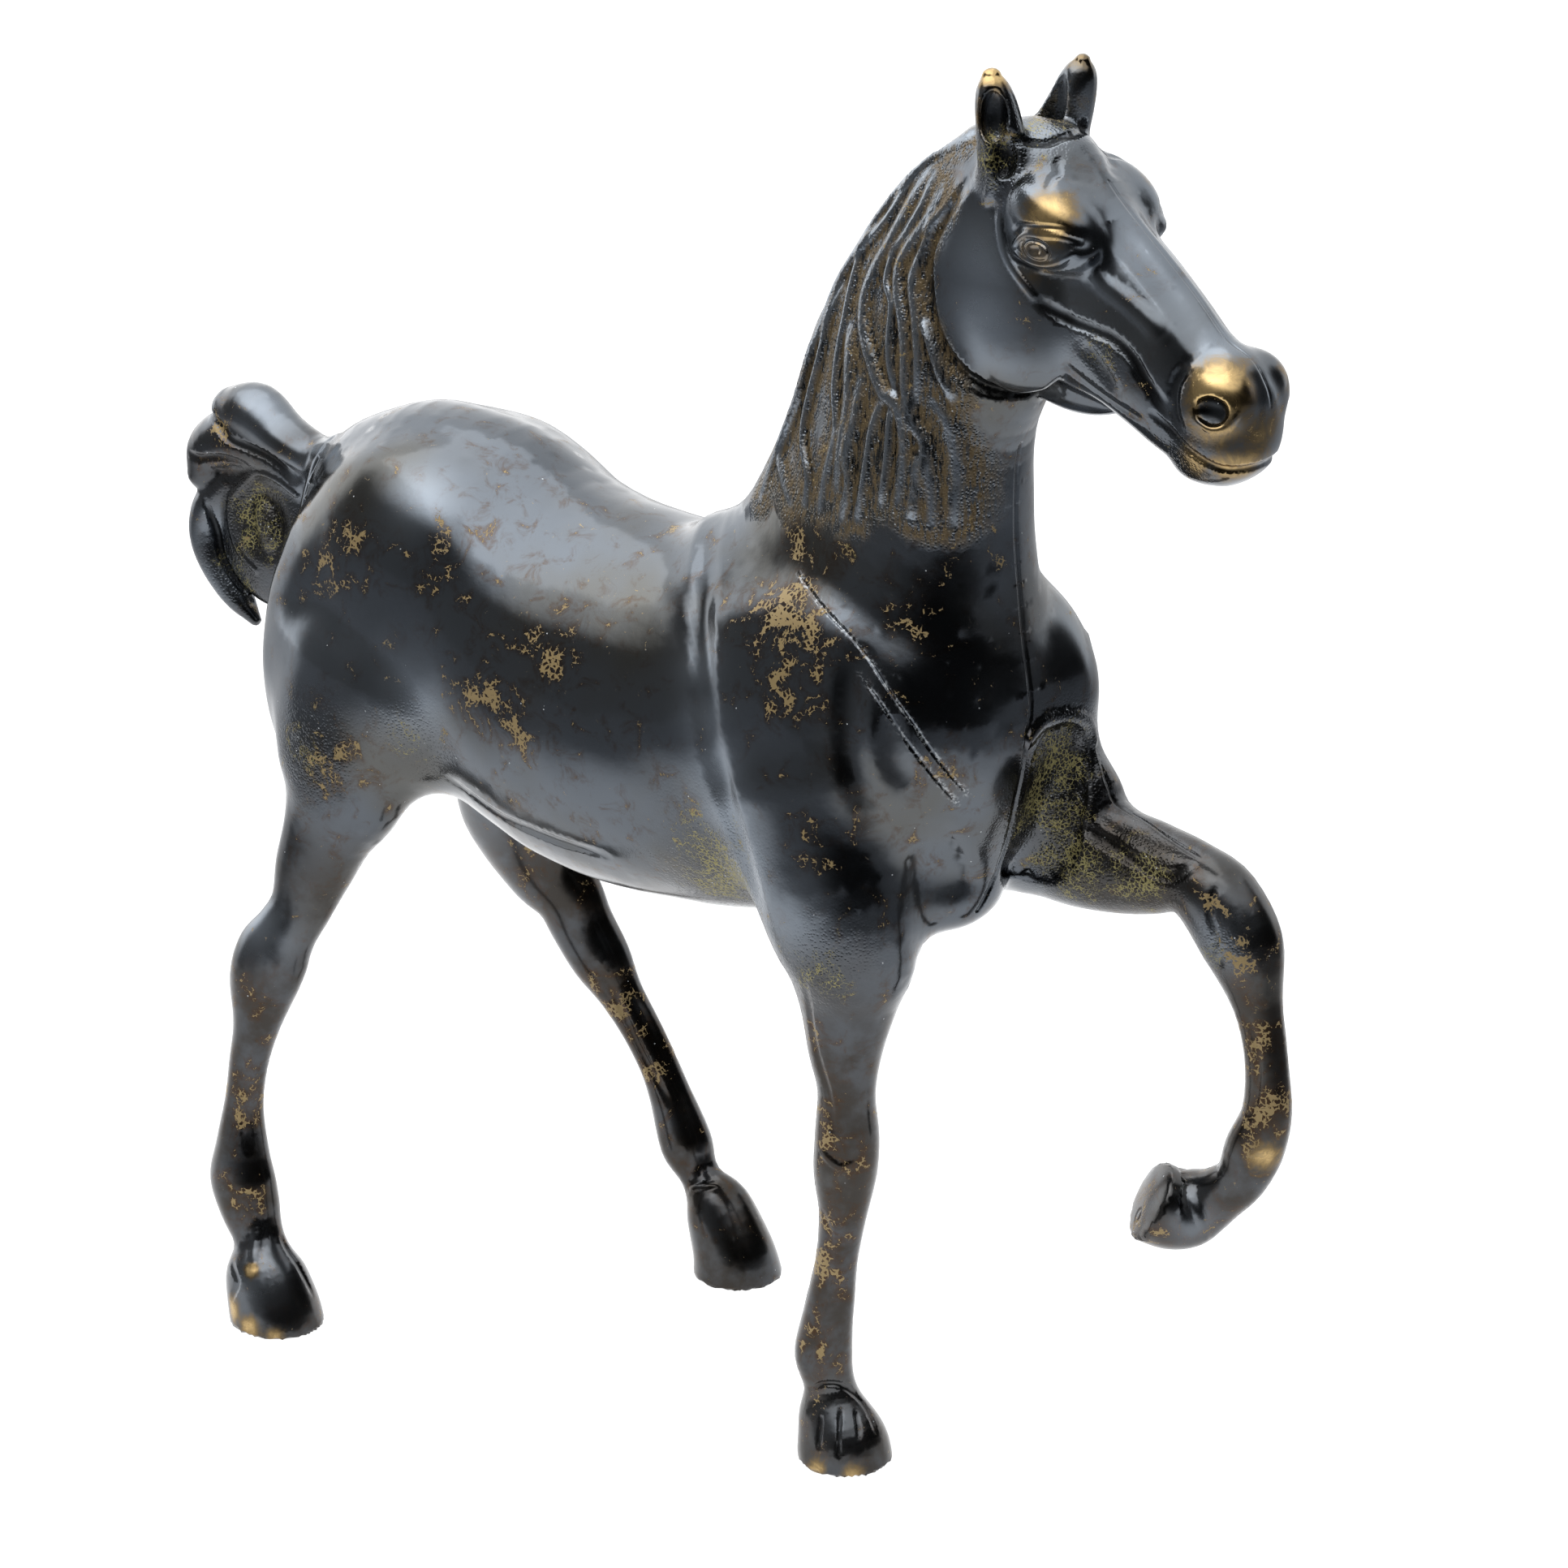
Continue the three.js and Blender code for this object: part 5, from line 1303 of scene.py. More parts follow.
@dataclass
class Tail:
    """The tail, curled up over the rump like a shell: x, y, z, half width and half depth along it."""

    top: Rows = (
        (-104, 0, 169, 7, 8), (-112, 0, 174.5, 6, 6), (-119, 0, 175.8, 5.6, 4.4), (-127, 0, 178.4, 6, 4.7),
        (-135, 0, 182.2, 6.6, 5.8), (-141.2, 0, 181.6, 5.6, 4.7),
    )
    lobe: Rows = (
        (-121, 0, 170, 4, 4), (-129, 0, 174, 5.4, 5), (-138, 0, 176, 6.8, 6.2), (-145.8, 0, 172.8, 7, 6),
        (-148, 0, 166.7, 6, 4.6),
    )
    crescent: Rows = (
        (-142, 0, 166.5, 4, 3), (-147, 0, 160.5, 5.6, 4.2), (-148.6, 0, 154, 5.8, 4.2),
        (-146.6, 0, 147, 5.2, 4), (-142.2, 0, 140.6, 3.8, 3.1), (-137, 0, 135.8, 1.4, 1.4),
    )

    fan: Pellet = Pellet((-131.5, 0, 160), (16.5, 4, 20), pitch=-5, blend=2)
    shell_hollow: Pellet = Pellet((-130.5, 5.6, 160.5), (8, 4, 9.5), blend=1.5, hollow=True, both=True)
    shell_core: Pellet = Pellet((-130, 1.5, 158.5), (3.4, 2.6, 6.5), pitch=-20, blend=1, both=True)
    top_strand: Stroke = Stroke((
        (-144.5, -3, 181.5), (-140.5, -5.5, 180), (-137, -6.5, 177.5), (-132, -6.5, 176.3),
        (-126, -5.8, 174.3), (-121.5, -4.5, 171)), width=1.5, depth=1, both=True)
    lobe_strand: Stroke = Stroke((
        (-148, -4, 172), (-143.5, -6.8, 172), (-139, -6.8, 172.6),
        (-134, -6, 171.6)), width=1.4, depth=0.8, both=True)
    shell_rim: Stroke = Stroke((
        (-121.5, -3.5, 167.8), (-126, -4.8, 170), (-131, -5, 170), (-136, -5, 167.5), (-139.6, -5, 163),
        (-140.5, -5, 157.5), (-138.5, -4.5, 152),
        (-133.5, -4, 148.8)), width=1.2, depth=-0.6, blunt=True, both=True)
    crescent_groove: Stroke = Stroke((
        (-145.5, -4.5, 162), (-143.8, -5, 156), (-142.8, -4.6, 150), (-139.6, -3.6, 144),
        (-135.5, -2, 139)), width=1.1, depth=0.9, both=True)

    def model(self, clay: Clay) -> None:
        """Puts the tail on.

        Args:
            clay: The model.
        """
        clay.add(Limb(rows=self.top, blend=2.5), Limb(rows=self.lobe, blend=1.6),
                 Limb(rows=self.crescent, blend=1.4))
        clay.put(self.fan, self.shell_hollow, self.shell_core)

    def carve(self, clay: Clay) -> None:
        """Draws the strands.

        Args:
            clay: The model.
        """
        clay.draw(self.top_strand, self.lobe_strand, self.shell_rim, self.crescent_groove)


class Wear(Enum):
    """What has happened to the surface, and where highlights are painted, by the name of the mask that the
    finish reads.
    """

    RUBBED = "rubbed"
    GILT = "gilt"
    PITTED = "pitted"
    COMBED = "combed"
    SMOKED = "smoked"
    CHALKED = "chalked"
    # a paler patina that paints highlights where the lamp and the bright room would be mirrored
    PAINTED_SHEEN = "bloomed"
    HOLLOW = "hollow"


@dataclass(frozen=True)
class Handling:
    """Where the surface is worn or dirty, and where highlights are painted on it. A soft spot is x, y, z, its
    radius in mm, and its strength.

    The patina is smoky where every ramp of one of the places says so. A point is as hollow as the clay is
    near around it, hollow_reach mm to four sides.
    """

    # rubbed through to golden metal: brow, muzzle and nostril, chin, ears, far brow, hooves, raised fetlock
    rubbed: Rows = (
        (75.5, -15, 262, 5.5, 1), (73, -15, 255.5, 5, 0.55), (71, -14, 251, 4, 0.5),
        (108, -8, 234, 6.5, 1.15), (109, -9, 227, 6, 0.7), (111, -6, 221, 5.5, 0.8), (112.5, -2, 226, 6, 0.6),
        (104, -8, 220.5, 4, 0.7),
        (59.5, -10.5, 284, 3, 1), (60.5, -14, 277, 4, 0.6), (65.5, 9, 284, 3, 0.6), (63, 4, 276, 5, 0.5),
        (76, 15.5, 262.5, 4.2, 0.8), (108, 8, 232, 5, 0.9),
        (-100.5, -47, 13.5, 1.5, 1.6), (-104, -49, 4, 3, 0.8), (-98.5, -50, 2, 3, 0.9),
        (-93, -48, 1, 2.5, 0.7),
        (31.5, -25, 0.5, 2.6, 0.8), (38, -22, 0.5, 2.6, 0.7),
        (108, 15.5, 76, 3.5, 0.8),
    )
    # laid bare in blotches: shoulder, rump and flank, tail, raised foreleg, the other legs, chest, far side
    gilt: Rows = (
        (21, -18, 191, 4.5, 1), (19, -23, 180, 8, 0.9), (27.5, -26, 176, 7, 0.9), (27.5, -29.5, 167, 7, 1),
        (34, -25, 175, 5, 0.8), (24, -22, 185, 6, 0.8), (36, -32.5, 138, 6, 0.6),
        (-86, -28, 173, 5, 0.8), (-90, -28, 165, 7, 0.8), (-47, -32.5, 149, 8, 0.9),
        (-38, -32.5, 145, 7, 0.8), (-62, -27, 172, 9, 0.5), (-30, -28, 160, 9, 0.6),
        (-85, -35.5, 128, 9, 0.7),
        (-140, -7, 179, 5, 0.8), (-139, -5, 169, 4, 0.8),
        (95, 12.5, 125, 4, 0.8), (103, 14, 117, 6, 1), (106, 15.5, 100, 6, 0.8),
        (106.5, 15.5, 87, 7, 0.8), (105, 15, 78, 4, 1), (86, 13, 57, 6, 0.8),
        (32, -27, 97, 5, 0.8), (34.5, -24, 72, 7, 0.6), (32, -22, 55, 5, 0.8), (31, -21.5, 44, 7, 0.8),
        (28, -21.5, 28, 6, 0.7), (30, -21, 15, 6, 0.6),
        (43, -29, 143, 5, 0.6), (55, -20, 152, 5, 0.6), (57, -13, 198, 6, 0.6), (50, -17, 181, 6, 0.6),
        (-64, 29.5, 56, 10, 0.7), (-57, 32.5, 44, 8, 0.6), (-84, 26, 88, 8, 0.7),
        (-104, -40, 76, 8, 0.5), (-108, -40, 48, 7, 0.6), (-104, -44, 28, 7, 0.6),
        (-40, 33, 150, 14, 0.6), (20, 27, 170, 12, 0.7), (-88, 30, 160, 12, 0.6),
    )
    # left rough from the mould: chest hollow, elbow, thigh, poll, tail, face, knee, far side
    pitted: Rows = (
        (64.5, 9, 149, 8, 1.2), (62, 6, 138, 9, 1), (66, 9, 127, 9, 1), (80, 12, 128, 8, 0.9),
        (10, -26, 124, 12, 1.1), (4, -22, 116, 9, 1), (37, -31, 112, 8, 0.9),
        (-90, -36, 128, 9, 0.7), (-66, -30, 134, 7, 0.6),
        (65, -4, 273.5, 7, 0.6), (63, 3, 272, 7, 0.6),
        (-132, -4, 160, 9, 1), (-132, 4, 160, 9, 1), (-139, -3, 147, 7, 0.7),
        (62, -14, 270, 6, 0.9), (84, -11, 237, 5, 0.45), (100, -8, 221, 6, 0.4),
        (97, 12.5, 117, 5, 0.8),
        (10, 26, 124, 12, 0.9), (-90, 34, 125, 10, 0.7),
    )
    # painted highlights, a paler patina where the lamp and room would be mirrored: face, cheeks, muzzle and
    # ears, rump and flank, shoulder's back edge, hock and hoof, neck's front, elbow, thigh, tail, raised leg,
    # the rest
    bloomed: Rows = (
        (85, -3, 255, 15, 0.6), (97, -2, 244, 11, 0.7), (72, -12, 262, 8, 0.6), (80, -10, 240, 12, 0.35),
        (66, -3, 273, 6, 0.6), (75, 12, 255, 16, 0.5), (61, -14, 252, 9, 1), (61, -14, 241, 9, 1),
        (61, 14, 246, 12, 1), (104, -2, 242, 7, 0.9), (113, -2, 231, 6, 0.9), (113, 3, 224, 5, 0.6),
        (66, 5, 276, 7, 0.8), (60, -10, 277, 5, 0.5),
        (-70, -24, 182, 7, 0.7), (-66, -31, 146, 10, 0.8), (-72, -31, 152, 7, 0.5),
        (5, -28, 165, 6, 0.7), (8, -30, 156, 6, 0.8), (12, -31, 147, 7, 0.9), (16, -32, 139, 7, 0.9),
        (21, -32, 131, 8, 0.7),
        (-102, -39, 88, 7, 0.9), (-99, -46, 11, 7, 0.6),
        (57, -6, 200, 8, 0.5), (58, -6, 190, 7, 0.5), (60, -9, 166, 6, 0.5),
        (22, -33, 126, 9, 0.6), (32, -33, 122, 8, 0.5),
        (-95, -30, 150, 13, 0.35), (-80, -31, 152, 11, 0.3), (-104, -26, 140, 12, 0.4),
        (-148, 0, 156, 7, 0.8), (-145, 0, 145, 6, 0.8), (-118, -5, 172, 7, 0.6),
        (99, 13, 121, 7, 0.6), (93, 13, 60, 5, 0.5),
        (33, -20, 10, 6, 0.4), (-92, 26, 96, 9, 0.4), (61, 14, 172, 8, 0.6), (-129, -3, 185, 7, 0.8),
        (-142, -3, 181, 5, 0.5),
    )
    # brown and sooty: the legs, the raised foreleg, the far thigh, the tail
    smoky: tuple = (
        ((Axis.Z, Ramp(122, 92)),),
        ((Axis.X, Ramp(60, 72)), (Axis.Z, Ramp(160, 145))),
        ((Axis.Y, Ramp(14, 20)), (Axis.X, Ramp(-55, -65)), (Axis.Z, Ramp(130, 120))),
        ((Axis.X, Ramp(-113, -119, 0, 0.6)),),
    )
    hollow_reach: float = 1.8
    hollow_gain: float = 1.5
    hollow_even: float = 0.5
    # a way that the surface hardly ever faces, from which two ways along it are found
    aslant: tuple = (0.31, 0.17, 0.93)
    # fingers don't reach the bottoms of the creases
    in_reach: Ramp = Ramp(0.6, 0.85, 1, 0)
    # chalk lies within about the root of so many square mm of a scored line
    chalk_square: float = 0.35
    # how strongly a painted highlight lies along the mane's lock ridges
    ridge_painted_sheen: float = 0.75

    @staticmethod
    def strongest(points: Array, spots: Rows) -> Array:
        """The strongest share of any of the spots at each point.

        Args:
            points: The points measured.
            spots: The spots.

        Returns:
            Shares from 0 up.
        """
        shares = [strength * np.exp(-((points - (x, y, z)) ** 2).sum(1) / radius**2)
                  for x, y, z, radius, strength in spots]
        return np.max(shares, axis=0)

    def smoke(self, points: Array) -> Array:
        """How dark and brown the patina is.

        Args:
            points: The points measured.

        Returns:
            Shares from 0 to 1.
        """
        shares = [np.prod([ramp.at(points[:, axis]) for axis, ramp in place], axis=0) for place in self.smoky]
        return np.max(shares, axis=0)

    def hollowness(self, points: Array, normals: Array, clay: Clay) -> Array:
        """How hollow the surface is at each point.

        Args:
            points: The points of the mesh.
            normals: Its normals.
            clay: The model.

        Returns:
            Shares from 0 on a sharp ridge, over a half where it is flat, to 1 in a deep groove.
        """
        side = unit(np.cross(normals, self.aslant))
        other = np.cross(normals, side)
        ways = (side, -side, other, -other)
        around = sum(clay.distance(points + self.hollow_reach * way) for way in ways) / len(ways)
        return np.clip(self.hollow_even - self.hollow_gain * around / self.hollow_reach, 0, 1)

    def masks(self, points: Array, normals: Array, clay: Clay, mane: Mane,
              scored: list[Crease]) -> dict[Wear, Array]:
        """Works out each kind of wear, and where highlights are painted.

        Args:
            points: The points of the mesh.
            normals: Its normals.
            clay: The model.
            mane: The mane, whose channels are rough.
            scored: The scored lines, which hold chalky polish.

        Returns:
            Shares from 0 to 1 by kind.
        """
        hollow = self.hollowness(points, normals, clay)
        channels, ridges = mane.comb(points)
        chalk = [np.exp(-line.reach(points)[0] / self.chalk_square) for line in scored]
        shares = {
            Wear.RUBBED: self.strongest(points, self.rubbed) * self.in_reach.at(hollow),
            Wear.GILT: self.strongest(points, self.gilt),
            Wear.PITTED: self.strongest(points, self.pitted),
            Wear.COMBED: channels,
            Wear.SMOKED: self.smoke(points),
            Wear.CHALKED: np.max(chalk, axis=0),
            # painted highlights, on the spots and along the mane's lock ridges
            Wear.PAINTED_SHEEN: np.maximum(self.strongest(points, self.bloomed), self.ridge_painted_sheen * ridges),
            Wear.HOLLOW: hollow,
        }
        return {kind: np.clip(share, 0, 1) for kind, share in shares.items()}


@dataclass
class Horse:
    """The whole casting, one sculpted piece."""

    trunk: Trunk = field(default_factory=Trunk)
    head: Head = field(default_factory=Head)
    mane: Mane = field(default_factory=Mane)
    legs: Legs = field(default_factory=Legs)
    tail: Tail = field(default_factory=Tail)
    handling: Handling = Handling()
    shift: Array = field(init=False, repr=False)

    def sculpt(self) -> Clay:
        """Models the horse.

        Returns:
            The clay.
        """
        clay = Clay()
        for part in (self.trunk, self.head, self.legs, self.tail):
            part.model(clay)
        for part in (self.trunk, self.head, self.mane, self.legs, self.tail):
            part.carve(clay)
        clay.lay_creases()
        return clay

    def cast(self) -> bpy.types.Object:
        """Builds the piece in Blender, dressed, and moves it onto the middle of its packed casting.

        Returns:
            The piece.
        """
        clay = self.sculpt()
        surface, normals = Mesher(clay).build()
        masks = self.handling.masks(surface.points, normals, clay, self.mane, self.trunk.scored)
        low, high = (np.array(corner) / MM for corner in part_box(NODE))
        middle = (surface.points.min(0) + surface.points.max(0)) / 2
        self.shift = ((low + high) / 2 - middle) * (1, 1, 0)
        mesh = bpy.data.meshes.new("horse_casting")
        mesh.from_pydata(((surface.points + self.shift) * MM).tolist(), [], surface.triangles.tolist())
        mesh.shade_smooth()
        mesh.normals_split_custom_set_from_vertices(normals.tolist())
        for kind, share in masks.items():
            layer = mesh.attributes.new(kind.value, "FLOAT", "POINT")
            layer.data.foreach_set("value", share.astype(np.float32))
        mesh.materials.append(PatinatedBronze().material())
        piece = bpy.data.objects.new("horse_casting", mesh)
        bpy.context.scene.collection.objects.link(piece)
        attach(piece, "root")
        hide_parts(NODE)
        moved = self.shift.round(2).tolist()
        log.info("%s: %d triangles, moved %s mm", piece.name, len(surface.triangles), moved)
        return piece


def linear(colour: str) -> tuple[float, float, float, float]:
    """Turns an sRGB hex colour into the linear one that the shaders take.

    Args:
        colour: The colour as "#rrggbb".

    Returns:
        Red, green, blue and 1.
    """
    parts = [int(colour[i:i + 2], 16) / 255 for i in (1, 3, 5)]
    return (*(c / 12.92 if c <= 0.04045 else ((c + 0.055) / 1.055) ** 2.4 for c in parts), 1.0)


class Kind(Enum):
    """The shader nodes in use."""

    PLACE = "ShaderNodeTexCoord"
    MASK = "ShaderNodeAttribute"
    RAY = "ShaderNodeLightPath"
    AXES = "ShaderNodeSeparateXYZ"
    STRETCH = "ShaderNodeMapping"
    NOISE = "ShaderNodeTexNoise"
    CELLS = "ShaderNodeTexVoronoi"
    MATH = "ShaderNodeMath"
    VECTOR = "ShaderNodeVectorMath"
    RANGE = "ShaderNodeMapRange"
    MIX = "ShaderNodeMix"
    BUMP = "ShaderNodeBump"
    SURFACE = "ShaderNodeBsdfPrincipled"
    BACKGROUND = "ShaderNodeBackground"
    MATERIAL = "ShaderNodeOutputMaterial"
    WORLD = "ShaderNodeOutputWorld"


# The mix node's sockets by number, as its names come twice: the share, two colours and what comes out.
SHARE, UNDER, OVER, MIXED = 0, 6, 7, 2
# The same for its two numbers.
ONE, OTHER = 2, 3
# Settings that several nodes take.
SOFT = {"interpolation_type": "SMOOTHSTEP"}
COLOURS = {"data_type": "RGBA"}
TIMES = {"operation": "MULTIPLY"}
TIMES_PLUS = {"operation": "MULTIPLY_ADD"}
MOST = {"operation": "MAXIMUM"}
MINUS = {"operation": "SUBTRACT"}


def add(tree: Tree, kind: Kind, links: dict | None = None, out: int | str = 0,
        **settings: object) -> Socket | None:
    """Adds a node.

    Args:
        tree: The tree that it goes into.
        kind: What it is.
        links: What each input takes, by its name or number: an output socket or a value.
        out: The output that is wanted, by its name or number.
        **settings: The node's own settings.

    Returns:
        The output that was asked for, or nothing where the node has none.
    """
    node = tree.nodes.new(kind.value)
    for name, value in settings.items():
        setattr(node, name, value)
    for name, value in (links or {}).items():
        socket = node.inputs[name]
        if isinstance(value, Socket):
            tree.links.new(value, socket)
        else:
            socket.default_value = value
    return node.outputs[out] if node.outputs else None


def per(size: float) -> float:
    """The scale that gives a pattern grains of so many mm."""
    return 1 / (size * MM)


@dataclass(frozen=True)
class Ground:
    """What the layers of the bronze's finish have in common."""

    tree: Tree
    place: Socket
    masks: dict[Wear, Socket]
    blotch: Socket
    cloud: Socket


@dataclass(frozen=True)
class Net:
    """Ragged threads round dark cells, sizes in mm.

    The edges of the cells wander by bend, in steps of rag. The mask, by its weight, and the blotches make the
    threads as wide as width says, in cells, and edge says how sharply they end and how much they cover.
    """

    cell: float
    rag: float
    rag_detail: int
    bend: float
    weight: float
    width: Ramp
    edge: Ramp

    def share(self, ground: Ground, mask: Socket) -> Socket:
        """Draws the net.

        Args:
            ground: What the layers have in common.
            mask: Where the threads are thick.

        Returns:
            The share that the threads cover.
        """
        tree = ground.tree
        ragged = add(tree, Kind.NOISE, {"Vector": ground.place, "Scale": per(self.rag),
                                        "Detail": self.rag_detail}, "Color")
        bent = add(tree, Kind.VECTOR, {0: ragged, 1: (self.bend * MM,) * 3, 2: ground.place}, **TIMES_PLUS)
        edge = add(tree, Kind.CELLS, {"Vector": bent, "Scale": per(self.cell)}, "Distance",
                   feature="DISTANCE_TO_EDGE")
        strength = add(tree, Kind.MATH, {0: mask, 1: self.weight, 2: ground.blotch}, **TIMES_PLUS)
        width = add(tree, Kind.RANGE, self.width.inputs(strength))
        inside = add(tree, Kind.MATH, {0: width, 1: edge}, **MINUS)
        return add(tree, Kind.RANGE, self.edge.inputs(inside), **SOFT)


@dataclass(frozen=True)
class PatinatedBronze:
    """Sand-cast bronze with a blue-black patina, waxed, and worn by hands.

    The patina is thin and smooth, so it gives the eye dark, soft-edged mirror images, and it goes brown and
    sooty down the legs. Paler patches of it are painted highlights. The bronze shows through it as tan lace
    and islands. Where hands rub, the golden metal is bright. Pits keep brown and green dirt, whose
    yellow-green crackle is partly painted glints, and the hollows go near-black. White specks of dust lie on
    everything, and the more of them on the rough skin are painted glints.
    The metals keep the default IOR. A ramp says from what value of a pattern or a mask a layer begins, up to
    where it is full, and how full. A weight says how much a mask adds to the pattern that it thickens.
    """

    # the patina: waxed, browner in clouds, smoky down the legs, paler where highlights are painted, rusty
    # round the bare bronze
    slate: str = "#5b6066"
    slate_warm: str = "#575755"
    smoke: str = "#3d3a37"
    painted_sheen_colour: str = "#868e97"
    rust: str = "#43301f"
    # near-black in the hollows; brown-gold dirt in the mane; yellow-green in the pits, partly painted glints;
    # and white dust, partly painted glints, and dry polish
    hollow_dark_colour: str = "#121110"
    combed: str = "#5f5036"
    crackle_and_glint: str = "#98905f"
    dust_and_glint: str = "#c3c8cb"
    # the bronze: laid bare and dull, half rubbed, and rubbed bright
    tan: str = "#96825a"
    brown: str = "#7f6b49"
    gold: str = "#cdb07c"

    # the grain of each pattern, mm
    blotch_grain: float = 5
    cloud_grain: float = 34
    smoke_grain: float = 9
    fleck_grain: float = 1.5
    streak_grain: float = 0.7
    streak_squeeze: float = 0.22
    speck_cell: float = 1.5
    bead_grain: float = 0.7
    pit_cell: float = 0.62
    lump_grain: float = 1.3
    ripple_grain: float = 2.2

    # the lace of bare bronze, and the yellow-green crackle that fills the pitted places, partly painted
    # glints
    lace: Net = Net(cell=1.15, rag=0.8, rag_detail=3, bend=0.9, weight=0.23,
                    width=Ramp(0.62, 0.86, -0.03, 0.46), edge=Ramp(-0.01, 0.04, 0, 0.95))
    crackle_glint_net: Net = Net(cell=0.95, rag=0.6, rag_detail=2, bend=0.8, weight=0.32,
                        width=Ramp(0.6, 1.0, -0.02, 0.22), edge=Ramp(-0.01, 0.05, 0, 0.9))

    # the relief's heights, mm
    pit_depth: float = 0.13
    lump_height: float = 0.2
    ripple_height: float = 0.018
    bare_depth: float = 0.012

    warm_clouds: Ramp = Ramp(0.45, 0.7)
    smoke_patches: Ramp = Ramp(0.35, 0.62, 0.55)
    rust_weight: float = 0.22
    rust_ring: Ramp = Ramp(0.5, 0.75, 0, 0.8)
    pit_smoke: float = 0.75

    rub_weight: float = 0.9
    half_rubbed: Ramp = Ramp(0.6, 1.1, 0, 0.85)
    full_rubbed: Ramp = Ramp(0.9, 1.5)
    # how near-black the hollows go
    hollow_darkening: Ramp = Ramp(0.56, 0.9, 0, 0.85)

    fleck_cloud: float = 0.16
    fleck_painted_sheen: float = -0.12
    fleck_share: Ramp = Ramp(0.745, 0.82, 0, 0.6)
    streak_blotch: float = 0.6
    streak_share: Ramp = Ramp(0.68, 0.86)
    speck_size: Ramp = Ramp(0.12, 0.08)
    # the more white specks on the rough skin are painted glints
    rough_glints: float = 0.24
    speck_share: Ramp = Ramp(0.87, 0.89)
    bead_share: Ramp = Ramp(0.5, 0.62, 0, 0.6)
    pit_wall: tuple = (0.1, 0.6)

    # metal under the layers that aren't bare metal, and the roughness of the wax and of what lies on it
    metal_left: Ramp = Ramp(0, 1, 1, 0.35)
    wax_rough: float = 0.1
    blotch_rough: float = 0.1
    dull_rough: float = 0.3
    pitted_rough: float = 0.15
    smoked_rough: float = 0.06
    hollow_dark_rough: float = 0.15
    rubbed_rough: float = 0.1
    painted_sheen_rough: float = 0.14

    def material(self) -> bpy.types.Material:
        """Builds the finish.

        Returns:
            The material.
        """
        material = bpy.data.materials.new("patinated_bronze")
        material.use_nodes = True
        tree = material.node_tree
        tree.nodes.clear()
        ground = self.ground(tree)
        masks = ground.masks
        lace = self.lace.share(ground, masks[Wear.GILT])
        crackle_and_glint = self.crackle_glint_net.share(ground, masks[Wear.PITTED])
        flecks, combed, dust_and_glint = self.flecks(ground), self.streaks(ground), self.dust_and_glints(ground)
        browned, rubbed, hollow_dark = self.handled(ground)
        colour = self.patina(ground)
        # the hollows go near-black; the crackle and the white specks are partly painted glints
        for share, top in ((hollow_dark, self.hollow_dark_colour), (combed, self.combed), (crackle_and_glint, self.crackle_and_glint),
                           (flecks, self.tan), (lace, self.tan), (browned, self.brown), (rubbed, self.gold),
                           (dust_and_glint, self.dust_and_glint)):
            colour = add(tree, Kind.MIX, {SHARE: share, UNDER: colour, OVER: linear(top)}, MIXED, **COLOURS)
        dull = lace
        for share in (crackle_and_glint, flecks, combed, dust_and_glint):
            dull = add(tree, Kind.MATH, {0: dull, 1: share}, **MOST)
        metal = add(tree, Kind.RANGE, self.metal_left.inputs(dull))
        rough = {0: ground.blotch, 1: self.blotch_rough, 2: self.wax_rough}
        rough = add(tree, Kind.MATH, rough, **TIMES_PLUS)
        for share, more in ((dull, self.dull_rough), (masks[Wear.PITTED], self.pitted_rough),
                            (masks[Wear.SMOKED], self.smoked_rough), (hollow_dark, self.hollow_dark_rough),
                            (rubbed, self.rubbed_rough), (masks[Wear.PAINTED_SHEEN], self.painted_sheen_rough)):
            rough = add(tree, Kind.MATH, {0: share, 1: more, 2: rough}, **TIMES_PLUS)
        height = self.relief(ground, lace)
        bump = add(tree, Kind.BUMP, {"Height": height, "Distance": 1.0, "Strength": 1.0})
        shader = add(tree, Kind.SURFACE, {"Base Color": colour, "Metallic": metal, "Roughness": rough,
                                          "Normal": bump})
        add(tree, Kind.MATERIAL, {"Surface": shader})
        return material

    def ground(self, tree: Tree) -> Ground:
        """Reads the masks and lays the two broad patterns, blotches and clouds.

        Args:
            tree: The finish's nodes.

        Returns:
            What the layers have in common.
        """
        place = add(tree, Kind.PLACE, out="Object")
        masks = {wear: add(tree, Kind.MASK, out="Fac", attribute_name=wear.value) for wear in Wear}
        blotch = add(tree, Kind.NOISE, {"Vector": place, "Scale": per(self.blotch_grain), "Detail": 6,
                                        "Roughness": 0.68, "Distortion": 0.6})
        cloud = add(tree, Kind.NOISE, {"Vector": place, "Scale": per(self.cloud_grain), "Detail": 3})
        return Ground(tree, place, masks, blotch, cloud)

    def handled(self, ground: Ground) -> tuple[Socket, Socket, Socket]:
        """Rubs the patina through where hands hold it, and darkens the hollows that they miss to near-black.

        Args:
            ground: What the layers have in common.

        Returns:
            The shares of brown bronze, of bright bronze and of the hollows' near-black.
        """
        tree, masks = ground.tree, ground.masks
        worn = {0: masks[Wear.RUBBED], 1: self.rub_weight, 2: ground.blotch}
        worn = add(tree, Kind.MATH, worn, **TIMES_PLUS)
        browned = add(tree, Kind.RANGE, self.half_rubbed.inputs(worn), **SOFT)
        rubbed = add(tree, Kind.RANGE, self.full_rubbed.inputs(worn), **SOFT)
        hollow_dark = add(tree, Kind.RANGE, self.hollow_darkening.inputs(masks[Wear.HOLLOW]), **SOFT)
        clean = add(tree, Kind.MATH, {0: 1.0, 1: browned}, **MINUS)
        return browned, rubbed, add(tree, Kind.MATH, {0: hollow_dark, 1: clean}, **TIMES)

